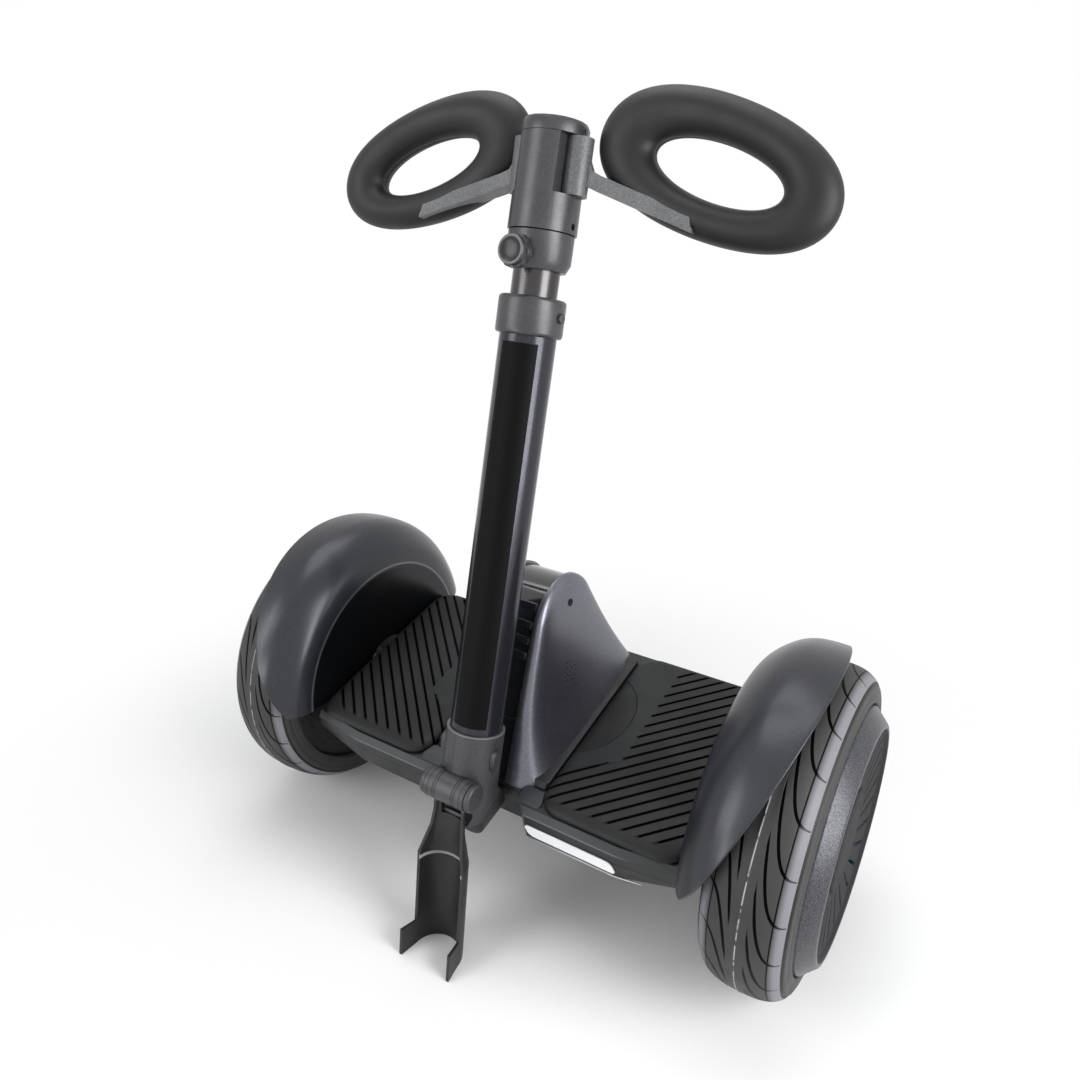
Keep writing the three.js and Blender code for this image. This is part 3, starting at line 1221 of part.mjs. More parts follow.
function headBody() {
  const housing = loft([facetLoop(HEAD_FOOT_RADIUS, HEAD_BOTTOM), facetLoop(HEAD_TOP_RADIUS, HEAD_TOP)]);
  const bore = rod(INNER_TUBE_RADIUS + GAP, HEAD_BOTTOM - CUT_OVERRUN, INNER_TUBE_TOP + GAP, 36);
  const slotFloor = KNUCKLE_BOTTOM - GAP;
  const cuts = [-1, 1].flatMap((sign) => {
    const width = HEAD_SLOT_REACH - HEAD_FRONT_HALF;
    const rearY = KNUCKLE_RADIUS + GAP;
    const depth = HEAD_SLOT_REACH + rearY;
    const height = HEAD_TOP - slotFloor + CUT_OVERRUN;
    const middleX = sign * (HEAD_FRONT_HALF + width / 2);
    const open = box(width, depth, height, middleX, rearY - depth / 2, slotFloor + height / 2);
    const round = rod(rearY, slotFloor, HEAD_TOP + CUT_OVERRUN, 28).translate(sign * KNUCKLE_X, 0, 0);
    return [open, round, pinHole(sign, KNUCKLE_BOTTOM - ARM_PIN_BELOW - GAP, HEAD_TOP)];
  });
  const screwHole = rod(HEAD_SCREW_RADIUS, INNER_TUBE_RADIUS, HEAD_SLOT_REACH, 16, 'x').translate(0, 0, HEAD_SCREW_S);
  return cut(housing, bore, ...cuts, screwHole);
}

function capBody() {
  const foot = HEAD_TOP + GAP;
  const top = HEAD_TOP + CAP_THICKNESS;
  const cap = loft([
    facetLoop(HEAD_TOP_RADIUS, foot),
    facetLoop(HEAD_TOP_RADIUS, top - COLLAR_ROUND),
    facetLoop(HEAD_TOP_RADIUS - COLLAR_ROUND / 2, top),
  ]);
  return cut(cap, ...[-1, 1].map((sign) => pinHole(sign, HEAD_TOP - CUT_OVERRUN, HEAD_TOP + ARM_PIN_ABOVE + GAP)));
}

function armPinBody(sign) {
  const foot = KNUCKLE_BOTTOM - ARM_PIN_BELOW;
  return rod(ARM_PIN_RADIUS, foot, HEAD_TOP + ARM_PIN_ABOVE, 16).translate(sign * KNUCKLE_X, 0, 0);
}

// The arm's bar slopes down along the ring's lower edge. Its middle line, as height over X.
const barLine = (x) => BAR_END_S + (x - BAR_END_X) * BAR_SLOPE_SHARE;

function barOutline(margin, low, high, chamfer = 0) {
  const end = BAR_END_X + margin;
  const start = BAR_START_X - margin;
  const slant = Math.hypot(1, BAR_SLOPE_SHARE);
  const lower = (x) => barLine(x) + (low - margin) * slant;
  const upper = (x) => barLine(x) + (high + margin) * slant;
  return [[start, lower(start)], [end, lower(end)], [end - chamfer, upper(end - chamfer)], [start, upper(start)]];
}

const BAR_LOW = -BAR_HEIGHT / 2;
const BAR_HIGH = BAR_HEIGHT / 2;
const BAR_FLANGE_HIGH = BAR_LOW + BAR_FLANGE_THICKNESS;

function armBody() {
  const knuckle = rod(KNUCKLE_RADIUS, KNUCKLE_BOTTOM, HEAD_TOP - GAP, 28).translate(KNUCKLE_X, 0, 0);
  const strip = alongY(barOutline(0, BAR_LOW, BAR_HIGH, BAR_END_CHAMFER), BAR_FRONT_Y, BAR_FRONT_Y + BAR_THICKNESS);
  const flange = alongY(barOutline(0, BAR_LOW, BAR_FLANGE_HIGH), BAR_FRONT_Y, BAR_FRONT_Y + BAR_FLANGE_DEPTH);
  const root = KNUCKLE_X + KNUCKLE_RADIUS / 2;
  const webTop = HEAD_TOP - ARM_WEB_DROP;
  const web = alongY([
    [root, KNUCKLE_BOTTOM + ARM_WEB_RISE],
    [BAR_START_X + ARM_WEB_REACH, barLine(BAR_START_X + ARM_WEB_REACH) + BAR_LOW],
    [BAR_START_X + ARM_WEB_REACH, barLine(BAR_START_X + ARM_WEB_REACH) + BAR_HIGH],
    [BAR_START_X + ARM_WEB_REACH / 4, barLine(BAR_START_X) + BAR_HIGH],
    [root, webTop],
  ], BAR_FRONT_Y, BAR_FRONT_Y + BAR_THICKNESS);
  const bore = pinHole(1, KNUCKLE_BOTTOM - CUT_OVERRUN, HEAD_TOP + CUT_OVERRUN);
  return cut(join(knuckle, strip, flange, web), bore);
}

// The ring's outer edge: an oval that the tube's swelling carries outwards.
function ringEdge(angle) {
  const across = Math.cos(angle);
  const up = Math.sin(angle);
  const swell = RING_TUBE_SWELL * Math.cos(angle - radians(RING_SWELL_ANGLE));
  const half = RING_TUBE_HALF_WIDTH + swell + RING_TUBE_END_SWELL * Math.cos(2 * angle);
  const normal = new THREE.Vector2(across / RING_HALF_LENGTH, up / RING_HALF_HEIGHT).setLength(half);
  return new THREE.Vector2(RING_HALF_LENGTH * across, RING_HALF_HEIGHT * up).add(normal);
}

// The ring's inner edge: the oval hole, a little further out than the ring's middle.
function ringHole(angle) {
  const along = RING_HOLE_SHIFT + RING_HOLE_HALF_LENGTH * Math.cos(angle);
  return new THREE.Vector2(along, RING_HOLE_HALF_HEIGHT * Math.sin(angle) - RING_HOLE_SHIFT);
}

// A hand ring: an oval loop of soft tube, thicker towards the stem and along its ends.
function ringLoop() {
  const around = 34;
  const section = 12;
  const rows = Array.from({ length: around }, (_, i) => {
    const angle = (i / around) * TAU;
    const edge = ringEdge(angle);
    const hole = ringHole(angle);
    return Array.from({ length: section }, (_, k) => {
      const turn = (k / section) * TAU;
      const spot = hole.clone().lerp(edge, (1 + Math.cos(turn)) / 2);
      return new THREE.Vector3(spot.x, -RING_TUBE_HALF_DEPTH * Math.sin(turn), spot.y);
    });
  });
  const positions = rows.flat().flatMap((point) => [point.x, point.y, point.z]);
  const id = (i, k) => (i % around) * section + (k % section);
  const index = [];
  for (let i = 0; i < around; i += 1) {
    for (let k = 0; k < section; k += 1) {
      index.push(id(i, k), id(i, k + 1), id(i + 1, k + 1), id(i, k), id(i + 1, k + 1), id(i + 1, k));
    }
  }
  const geometry = new THREE.BufferGeometry();
  geometry.setAttribute('position', new THREE.Float32BufferAttribute(positions, 3));
  geometry.setIndex(index);
  geometry.rotateX(-radians(RING_FACE_ANGLE)).rotateY(radians(RING_SLOPE_ANGLE));
  return closedBody(geometry.translate(RING_CENTRE_X, RING_CENTRE_Y, RING_CENTRE_S));
}

function ringPadBody() {
  const front = RING_CENTRE_Y - RING_TUBE_HALF_DEPTH - CUT_OVERRUN * 2;
  const below = BAR_LOW - CUT_OVERRUN * 3;
  const stripSeat = alongY(barOutline(GAP, BAR_LOW, BAR_HIGH), front, BAR_FRONT_Y + BAR_THICKNESS + GAP);
  const flangeSeat = alongY(barOutline(GAP, below, BAR_FLANGE_HIGH), front, BAR_FRONT_Y + BAR_FLANGE_DEPTH + GAP);
  return cut(ringLoop(), stripSeat, flangeSeat);
}

// Assembly

// The tilt that brings the kickstand's foot down to the floor under the wheels.
function parkTilt() {
  const foot = new THREE.Vector3(0, -KICK_CHANNEL_AXIS - KICK_EAR_FRONT, -KICK_FOOT);
  const across = new THREE.Vector3(1, 0, 0);
  foot.applyAxisAngle(across, radians(KICK_ANGLE));
  foot.add(new THREE.Vector3(0, -KICK_HINGE_FRONT, KICK_HINGE_S));
  foot.applyAxisAngle(across, -radians(STEM_ANGLE));
  foot.add(new THREE.Vector3(0, RIM_Y, RIM_Z));
  const start = Math.atan2(foot.z, foot.y);
  const reach = Math.hypot(foot.y, foot.z);
  const target = -Math.PI + Math.asin(WHEEL_RADIUS / reach);
  return target - start;
}

const PARK_TILT = parkTilt();
const transporter = new THREE.Group();
const floor = group(transporter);
const chassis = group(floor, 0, 0, WHEEL_RADIUS);
chassis.rotation.x = PARK_TILT;
for (const [side, sign] of SIDES) addWheel(chassis, side, sign);

const rightFender = fenderBody();
piece(chassis, 'fender_right', rightFender, finish.metallicBlue);
piece(chassis, 'fender_left', mirrored(rightFender), finish.metallicBlue);
piece(chassis, 'deck_upper_shell', upperShellBody(), finish.shellBlack);
piece(chassis, 'deck_lower_shell', lowerShellBody(), finish.shellBlack);
piece(chassis, 'chassis_frame', frameBody(), finish.castGrey);
const rightMat = matBody();
piece(chassis, 'foot_mat_right', rightMat, finish.rubber);
piece(chassis, 'foot_mat_left', mirrored(rightMat), finish.rubber);
piece(chassis, 'battery_pack', batteryBody(), finish.battery);
piece(chassis, 'control_board', boardBody(), finish.board);
piece(chassis, 'badge_plate', badgeBody(), finish.badge);
piece(chassis, 'power_button', powerButtonBody(), finish.glossBlack);
piece(chassis, 'charge_port', portBody(), finish.glossBlack);
piece(chassis, 'charge_port_cap', portCapBody(), finish.rubber);
for (const [side, sign] of SIDES) {
  piece(chassis, `tail_lamp_${side}`, tailLampBody(sign), finish.redLamp);
  piece(chassis, `deck_foot_${side}`, footBody(sign), finish.rubber);
}

const rightShell = humpShellBody();
piece(chassis, 'hump_shell_right', rightShell, finish.metallicBlue);
piece(chassis, 'hump_shell_left', mirrored(rightShell), finish.metallicBlue);
piece(chassis, 'hump_band', humpBandBody(), finish.glossBlack);
piece(chassis, 'pivot_bearing', pivotBearingBody(), finish.steel);
piece(chassis, 'centring_block', centringBody(), finish.rubber);
piece(chassis, 'steering_shaft', steeringShaftBody(), finish.steel);

const stem = group(chassis, 0, RIM_Y, RIM_Z);
stem.rotation.x = -radians(STEM_ANGLE);
piece(stem, 'stem_socket', socketBody(), finish.castGrey);
for (const [side, sign] of SIDES) piece(stem, `release_button_${side}`, releaseButtonBody(sign), finish.castGrey);
piece(stem, 'kickstand_pin', kickPinBody(), finish.castGrey, 0, -KICK_HINGE_FRONT, KICK_HINGE_S);
piece(stem, 'outer_tube', outerTubeBody(), finish.tubeDark);
piece(stem, 'tube_collar', collarBody(), finish.greyPlastic);
piece(stem, 'collar_screw', collarScrewBody(), finish.steel);
piece(stem, 'inner_tube', innerTubeBody(), finish.polished);
piece(stem, 'height_clamp', clampBody(), finish.greyPlastic);
piece(stem, 'clamp_knob', knobBody(), finish.shellBlack);
piece(stem, 'head_housing', headBody(), finish.greyPlastic);
piece(stem, 'head_cap', capBody(), finish.greyPlastic);
const rightArm = armBody();
piece(stem, 'ring_arm_right', rightArm, finish.greyPlastic);
piece(stem, 'ring_arm_left', mirrored(rightArm), finish.greyPlastic);
const rightRing = ringPadBody();
piece(stem, 'hand_ring_right', rightRing, finish.softTouch);
piece(stem, 'hand_ring_left', mirrored(rightRing), finish.softTouch);
for (const [side, sign] of SIDES) piece(stem, `arm_pin_${side}`, armPinBody(sign), finish.steel);

const kick = group(stem, 0, -KICK_HINGE_FRONT, KICK_HINGE_S);
kick.rotation.x = radians(KICK_ANGLE);
piece(kick, 'kickstand', kickstandBody(radians(STEM_ANGLE - KICK_ANGLE) - PARK_TILT), finish.castGrey);

// The origin is the middle of the machine's outline on the floor.
const bounds = new THREE.Box3().setFromObject(transporter, true);
floor.position.set(-(bounds.min.x + bounds.max.x) / 2, -(bounds.min.y + bounds.max.y) / 2, -bounds.min.z);

export default transporter;
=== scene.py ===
"""The looks of a self balancing personal transporter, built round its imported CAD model.

Pieces are drawn in millimetres in the frame of what carries them (wheel, deck, stem or
kickstand) and are placed in the model's own frame, in metres, when they are finished.
"""
import json
import math

import bmesh
import bpy
from mathutils import Matrix, Vector

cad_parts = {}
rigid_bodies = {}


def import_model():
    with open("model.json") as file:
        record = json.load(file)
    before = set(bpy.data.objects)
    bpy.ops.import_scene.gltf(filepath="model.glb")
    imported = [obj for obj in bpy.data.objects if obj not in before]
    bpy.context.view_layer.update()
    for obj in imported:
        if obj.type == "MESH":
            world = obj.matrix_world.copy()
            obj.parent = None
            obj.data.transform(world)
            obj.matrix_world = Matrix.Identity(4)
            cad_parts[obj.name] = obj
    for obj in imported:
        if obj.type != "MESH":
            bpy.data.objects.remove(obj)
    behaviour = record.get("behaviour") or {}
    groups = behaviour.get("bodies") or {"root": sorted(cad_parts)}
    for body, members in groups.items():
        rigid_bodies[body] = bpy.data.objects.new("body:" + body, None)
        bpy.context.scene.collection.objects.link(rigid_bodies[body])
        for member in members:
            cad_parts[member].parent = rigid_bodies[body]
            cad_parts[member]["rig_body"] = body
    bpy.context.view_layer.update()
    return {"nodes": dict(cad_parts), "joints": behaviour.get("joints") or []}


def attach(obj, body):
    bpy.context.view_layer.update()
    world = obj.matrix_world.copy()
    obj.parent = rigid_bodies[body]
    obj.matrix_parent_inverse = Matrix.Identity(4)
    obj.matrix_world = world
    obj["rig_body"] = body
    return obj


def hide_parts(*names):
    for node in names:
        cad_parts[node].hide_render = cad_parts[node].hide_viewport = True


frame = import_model()
NODES = frame["nodes"]
JOINTS = {joint["name"]: joint for joint in frame["joints"]}
TAU = math.tau
SIDES = ("left", "right")

# Frames of the carriers

AXLE = Vector(JOINTS["wheel_right_spin"]["pos_m"])
AXLE_Y, AXLE_Z = AXLE.y, AXLE.z
TRACK_HALF = AXLE.x * 1000
DECK_PITCH = math.radians(11.312)
STEM_LEAN = math.radians(26)
KICK_LEAN = math.radians(6.2)
STEM_PIVOT = (0, -84.8, 76.2)
KICK_HINGE = (0, -24, -46)
MILLIMETRES = Matrix.Diagonal((0.001, 0.001, 0.001, 1))


def turn(angle, axis):
    return Matrix.Rotation(angle, 4, axis)


def shift(x=0.0, y=0.0, z=0.0):
    return Matrix.Translation((x, y, z))


DECK = shift(0, AXLE_Y, AXLE_Z) @ turn(DECK_PITCH, "X") @ MILLIMETRES
STEM = DECK @ shift(*STEM_PIVOT) @ turn(-STEM_LEAN, "X")
KICK = STEM @ shift(*KICK_HINGE) @ turn(KICK_LEAN, "X")
WHEELS = {
    "left": DECK @ shift(-TRACK_HALF) @ turn(math.pi, "Z"),
    "right": DECK @ shift(TRACK_HALF),
}
FLIP = Matrix.Diagonal((-1, 1, 1, 1))

# Shader maths


class Signal:
    """A node's output that takes part in Python arithmetic."""

    def __init__(self, paint, socket):
        self.paint = paint
        self.socket = socket

    def __add__(self, other):
        return self.paint.math("ADD", self, other)

    __radd__ = __add__

    def __sub__(self, other):
        return self.paint.math("SUBTRACT", self, other)

    def __rsub__(self, other):
        return self.paint.math("SUBTRACT", other, self)

    def __mul__(self, other):
        return self.paint.math("MULTIPLY", self, other)

    __rmul__ = __mul__

    def __truediv__(self, other):
        return self.paint.math("DIVIDE", self, other)

    def __pow__(self, other):
        return self.paint.math("POWER", self, other)

    def __abs__(self):
        return self.paint.math("ABSOLUTE", self)


class Paint:
    """One finish: a Principled shader and the nodes that vary it over the surface."""

    def __init__(self, name, color, roughness, metallic=0.0, coat=0.0, coat_roughness=0.08, specular=0.5):
        self.material = bpy.data.materials.new(name)
        self.material.use_nodes = True
        self.tree = self.material.node_tree
        self.shader = self.tree.nodes["Principled BSDF"]
        self.color = (*color, 1.0)
        self.shader.inputs["Base Color"].default_value = self.color
        self.shader.inputs["Roughness"].default_value = roughness
        self.shader.inputs["Metallic"].default_value = metallic
        self.shader.inputs["Coat Weight"].default_value = coat
        self.shader.inputs["Coat Roughness"].default_value = coat_roughness
        self.shader.inputs["Specular IOR Level"].default_value = specular
        self.material.diffuse_color = self.color
        self.object_place = None

    def node(self, kind, settings=None, inputs=None, output=0):
        """Makes a node, sets its settings first and then its inputs, and returns one output."""
        made = self.tree.nodes.new(kind)
        for key, value in (settings or {}).items():
            setattr(made, key, value)
        for key, value in (inputs or {}).items():
            if isinstance(value, Signal):
                self.tree.links.new(value.socket, made.inputs[key])
            else:
                made.inputs[key].default_value = value
        return Signal(self, made.outputs[output])

    def math(self, operation, *values, clamp=False):
        settings = {"operation": operation, "use_clamp": clamp}
        return self.node("ShaderNodeMath", settings, dict(enumerate(values)))

    def place(self, carrier=None):
        """The point in metres, in the model's frame or in a carrier's frame."""
        if self.object_place is None:
            self.object_place = self.node("ShaderNodeTexCoord", output="Object")
        if carrier is None:
            return self.object_place
        spot, spin, _ = carrier.decompose()
        inputs = {"Vector": self.object_place, "Location": spot, "Rotation": spin.to_euler()}
        return self.node("ShaderNodeMapping", {"vector_type": "TEXTURE"}, inputs)

    def axes(self, place):
        return [self.node("ShaderNodeSeparateXYZ", None, {"Vector": place}, output=axis) for axis in "XYZ"]

    def times(self, vector, factors):
        return self.node("ShaderNodeVectorMath", {"operation": "MULTIPLY"}, {0: vector, 1: factors})

    def noise(self, place, scale, detail=2.0, roughness=0.5):
        inputs = {"Vector": place, "Scale": scale, "Detail": detail, "Roughness": roughness}
        return self.node("ShaderNodeTexNoise", None, inputs, output="Fac")

    def remap(self, value, low, high, to_low=0.0, to_high=1.0, smooth=True):
        settings = {"interpolation_type": "SMOOTHSTEP" if smooth else "LINEAR"}
        inputs = {0: value, 1: low, 2: high, 3: to_low, 4: to_high}
        return self.node("ShaderNodeMapRange", settings, inputs)

    def mix(self, factor, first, second):
        """A colour between two, each a colour or a signal."""
        values = {0: factor}
        for key, value in ((6, first), (7, second)):
            values[key] = value if isinstance(value, Signal) else (*value[:3], 1.0)
        return self.node("ShaderNodeMix", {"data_type": "RGBA"}, values, output=2)

    def feed(self, name, value):
        self.tree.links.new(value.socket, self.shader.inputs[name])

    def emboss(self, height, depth):
        """Adds relief: height 1 stands a depth in metres over height 0."""
        inputs = {"Height": height, "Distance": depth}
        before = self.shader.inputs["Normal"].links
        if before:
            inputs["Normal"] = Signal(self, before[0].from_socket)
        self.feed("Normal", self.node("ShaderNodeBump", None, inputs))

    def wear(self, span=0.1, rough=(0.4, 0.5), scale=30.0, speck=None, fleck=0.25):
        """Cloudy tone and gloss, with specks of a size in metres, so that no surface is one flat colour."""
        cloud = self.noise(self.place(), scale, 4.0, 0.6)
        tone = self.mix(cloud, self.toned(1 - span), self.toned(1 + span))
        if speck:
            fine = self.remap(self.noise(self.place(), 1 / speck, 1.0), 0.36, 0.64)
            dark, light = [(1 - fleck,) * 3, (1 + fleck,) * 3]
            tone = self.times(tone, self.mix(fine, dark, light))
        self.feed("Base Color", tone)
        self.feed("Roughness", self.remap(cloud, 0.3, 0.7, *rough))
        self.tone = tone

    def toned(self, factor):
        return [channel * factor for channel in self.color[:3]]

    def grain(self, size, depth):
        """The fine even relief of a casting or a moulding, of a size and a depth in metres."""
        self.emboss(self.noise(self.place(), 1 / size, 2.0, 0.5), depth)

    def recolor(self, mask, color):
        """Lays another colour over the tone where a mask is 1."""
        self.tone = self.mix(mask, self.tone, color)
        self.feed("Base Color", self.tone)

    def local(self, carrier):
        """The three coordinates in millimetres in a carrier's frame."""
        return self.axes(self.times(self.place(carrier), (1000,) * 3))

    def fraction(self, value):
        return self.math("FRACT", value)

    def root(self, value):
        return self.math("SQRT", value)

    def clip(self, value):
        return self.math("ADD", value, 0.0, clamp=True)

    def line(self, distance, half, blur):
        """1 on a line, from a distance to its middle."""
        return self.remap(distance, half + blur, half - blur)


# Mesh helpers


def lathe(mesh, profile, steps=96, axis="X"):
    """Spins a profile of (radius, place along the axis) points once round the axis."""
    across, along = {"X": (2, 0), "Z": (0, 2), "Y": (2, 1)}[axis]
    points = []
    for radius, place in profile:
        spot = [0.0, 0.0, 0.0]
        spot[across] = radius
        spot[along] = place
        points.append(mesh.verts.new(spot))
    edges = [mesh.edges.new(pair) for pair in zip(points, points[1:])]
    turn_axis = [1.0 if name == axis else 0.0 for name in "XYZ"]
    bmesh.ops.spin(
        mesh, geom=points + edges, cent=(0, 0, 0), axis=turn_axis, angle=TAU, steps=steps, use_merge=True
    )
    bmesh.ops.remove_doubles(mesh, verts=mesh.verts[:], dist=0.001)
    return mesh


def sheet(mesh, across, along, place):
    """A grid whose points go to place(u, v), with u and v from 0 to 1."""
    for vert in bmesh.ops.create_grid(mesh, x_segments=across, y_segments=along, size=0.5)["verts"]:
        vert.co = place(vert.co.x + 0.5, vert.co.y + 0.5)


def outward(mesh):
    bmesh.ops.recalc_face_normals(mesh, faces=mesh.faces[:])


def merge(mesh, distance=0.001):
    bmesh.ops.remove_doubles(mesh, verts=mesh.verts[:], dist=distance)
    bmesh.ops.dissolve_degenerate(mesh, edges=mesh.edges[:], dist=distance)
    outward(mesh)
    return mesh


def thicken(mesh, thickness):
    bmesh.ops.solidify(mesh, geom=mesh.faces[:], thickness=thickness)


def soften(mesh, angle, width, segments=2):
    """Rounds the edges that are sharper than an angle in degrees."""
    sharp = [edge for edge in mesh.edges if edge.is_manifold and edge.calc_face_angle() > math.radians(angle)]
    bmesh.ops.bevel(
        mesh, geom=sharp, offset=width, affect="EDGES", segments=segments, profile=0.5, material=-1,
        clamp_overlap=True,
    )


def block(mesh, low, high):
    size = [top - foot for foot, top in zip(low, high)]
    middle = [(top + foot) / 2 for foot, top in zip(low, high)]
    matrix = shift(*middle) @ Matrix.Diagonal((*size, 1))
    bmesh.ops.create_cube(mesh, size=1, matrix=matrix)


def peg(mesh, radius, low, high, first, second, axis, segments=32):
    """A round bar along X or Y. The other two places are given in the order of the axes."""
    swing = {"X": turn(TAU / 4, "Y"), "Y": turn(-TAU / 4, "X")}[axis]
    middle = (low + high) / 2
    spot = {"X": (middle, first, second), "Y": (first, middle, second)}[axis]
    bmesh.ops.create_cone(
        mesh, cap_ends=True, segments=segments, radius1=radius, radius2=radius, depth=high - low,
        matrix=shift(*spot) @ swing,
    )


def outline_face(mesh, points, z):
    return mesh.faces.new([mesh.verts.new((x, y, z)) for x, y in points])


def rounded_box(left, right, low, high, radius, steps=6):
    """The corners of a rectangle with round corners, as points round it."""
    corners = ((right, high, 0), (left, high, 1), (left, low, 2), (right, low, 3))
    points = []
    for x, y, quarter in corners:
        middle_x = right - radius if x == right else left + radius
        middle_y = high - radius if y == high else low + radius
        for step in range(steps + 1):
            angle = (quarter + step / steps) * TAU / 4
            points.append((middle_x + radius * math.cos(angle), middle_y + radius * math.sin(angle)))
    return points


def pulled(mesh, face, by):
    """Extrudes a face into a closed body."""
    moved = bmesh.ops.extrude_face_region(mesh, geom=[face])["geom"]
    verts = [item for item in moved if isinstance(item, bmesh.types.BMVert)]
    bmesh.ops.translate(mesh, verts=verts, vec=by)
    outward(mesh)
    return verts


def finish(mesh, name, paint, body, carrier, replaces=(), smooth=35, mirror=False):
    """Turns a bmesh in a carrier's millimetres into a placed piece that rides on its body."""
    matrix = carrier @ FLIP if mirror else carrier
    bmesh.ops.transform(mesh, matrix=matrix, verts=mesh.verts[:])
    if mirror:
        bmesh.ops.reverse_faces(mesh, faces=mesh.faces[:])
    for face in mesh.faces:
        face.smooth = True
    for edge in mesh.edges:
        edge.smooth = not edge.is_manifold or edge.calc_face_angle() < math.radians(smooth)
    data = bpy.data.meshes.new(name)
    mesh.to_mesh(data)
    mesh.free()
    piece = bpy.data.objects.new(name, data)
    bpy.context.scene.collection.objects.link(piece)
    data.materials.append(FINISHES[paint].material)
    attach(piece, body)
    if replaces:
        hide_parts(*replaces)
    return piece


def on_deck(mesh, name, side, paint, node=None, smooth=40):
    """Finishes a piece of the deck that is drawn on the right and mirrored on the left."""
    replaced = (node + side,) if node else ()
    finish(mesh, name + side, paint, "chassis", DECK, replaced, smooth, side == "left")


def bevelled(piece, width, segments=2):
    bevel = piece.modifiers.new("edges", "BEVEL")
    bevel.width = width
    bevel.segments = segments
    bevel.limit_method = "ANGLE"
    bevel.angle_limit = math.radians(35)
    bevel.harden_normals = False
    return piece


def dressed(node, paint, edge=0.0005, smooth=35, segments=2):
    """A finer copy of a CAD node: one skin with soft edges and smooth round faces."""
    mesh = bmesh.new()
    mesh.from_mesh(NODES[node].data)
    bmesh.ops.remove_doubles(mesh, verts=mesh.verts[:], dist=0.00001)
    bmesh.ops.dissolve_limit(
        mesh, angle_limit=math.radians(1), verts=mesh.verts[:], edges=mesh.edges[:],
        use_dissolve_boundaries=False,
    )
    piece = finish(
        mesh, "dressed_" + node, paint, NODES[node]["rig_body"], Matrix.Identity(4), (node,), smooth
    )
    return bevelled(piece, edge, segments)


def repaint(node, paint):
    """Gives a CAD node that keeps its own shape a finer material."""
    data = NODES[node].data
    data.materials.clear()
    data.materials.append(FINISHES[paint].material)


# Finishes

# The tread's grooves sweep out from the middle of the tyre to its shoulders
TYRE_RADIUS, TREAD_HALF = 131, 30
GROOVE_COUNT, GROOVE_SWEEP = 23, 3.4
GROOVE_PITCH = TAU * TYRE_RADIUS / GROOVE_COUNT
# The mats' ribs fill a field whose inner edge flares and whose front outer corner is cut off
RIB_PITCH, RIB_START, RIB_COUNT, GROOVE_HALF = 13.24, 5.4, 20, 1.15
RIBS_INNER, RIBS_FRONT = 98, -91
FLARE_START, FLARE_LENGTH, FLARE_REACH, FLARE_POWER = -27, 28, 43, 1.3
CORNER_START, CORNER_END, CORNER_RISE = 150, 178, 9
KNOB_Z = 360
SOUND_HOLES_Y, SOUND_HOLES_Z = 2.0, 76.0


def worn(name, color, roughness, wear, grain=None, **surface):
    """A finish with its cloudy tone, and with the grain of how it was made."""
    paint = Paint(name, color, roughness, **surface)
    paint.wear(**wear)
    if grain:
        paint.grain(*grain)
    return paint


def tyre_finish(side):
    """Curved tread grooves that sweep out from near the middle, and a shoulder band. The shoulder band and
    the centre seam are painted lighter as painted highlights, and the grooves, the rim line and the
    shoulder's edge are painted near black as painted shade.
    """
    paint = worn(
        "tyre_tread_" + side, (0.026, 0.0245, 0.0242), 0.6,
        {"span": 0.14, "rough": (0.52, 0.66), "scale": 22}, specular=0.45,
    )
    x, y, z = paint.local(WHEELS[side])
    radius = paint.root(y * y + z * z)
    out = abs(x) / TREAD_HALF
    rest = paint.clip(1 - out)
    half = paint.math("SIGN", x)
    around = paint.math("ARCTAN2", z, y) * (GROOVE_COUNT / TAU)
    phase = around + rest * rest * rest * half * GROOVE_SWEEP - half * 0.25
    off = 0.5 - abs(paint.fraction(phase) - 0.5)
    slope = rest * rest * (GROOVE_SWEEP * 3 * GROOVE_PITCH / TREAD_HALF)
    across = off * GROOVE_PITCH / paint.root(slope * slope + 1)
    width = paint.remap(out, 0.2, 0.3, 0.8, 1.25) * paint.remap(out, 0.99, 0.7, 0.45, 1)
    length = paint.remap(out, 0.2, 0.22) * paint.remap(out, 0.97, 0.93) * paint.remap(radius, 118, 120)
    groove = paint.remap(across / width, 1.0, 0.7) * length
    broken = paint.remap(paint.noise(paint.place(), 160, 2.0), 0.34, 0.5)
    seam = paint.line(abs(x), 0.45, 0.3)
    rim_line = paint.line(abs(abs(x) - 21.6), 0.5, 0.3) * paint.remap(radius, 118, 120)
    edge = paint.line(abs(radius - 120.6), 1.1, 0.5)
    shoulder = paint.remap(abs(x), 20.8, 26.5) * paint.remap(radius, 120.4, 121.4)
    wall_line = paint.line(abs(radius - 111.5), 0.35, 0.25) * paint.remap(radius, 121, 118)
    # Painted highlight: the shoulder band and the raised centre seam are painted lighter where light catches
    # them.
    paint.recolor(shoulder * 0.8, (0.2, 0.2, 0.22))
    paint.recolor(seam * broken * 0.9, (0.4, 0.4, 0.4))
    # Painted shade: the rim line, the tread grooves and the shoulder's edge are painted near black, and the
    # grooves and rim line are made metallic so that they reflect nothing.
    paint.recolor(rim_line, (0.006, 0.006, 0.006))
    paint.recolor(groove * (1 - shoulder * 0.2), (0.002, 0.002, 0.002))
    paint.feed("Metallic", paint.clip(groove * (1 - shoulder) + rim_line))
    paint.recolor(edge, (0.006, 0.006, 0.006))
    paint.emboss(1 - groove, 0.0014)
    paint.emboss(seam - rim_line - wall_line - edge, 0.0003)
    paint.grain(0.0016, 0.00012)
    return paint


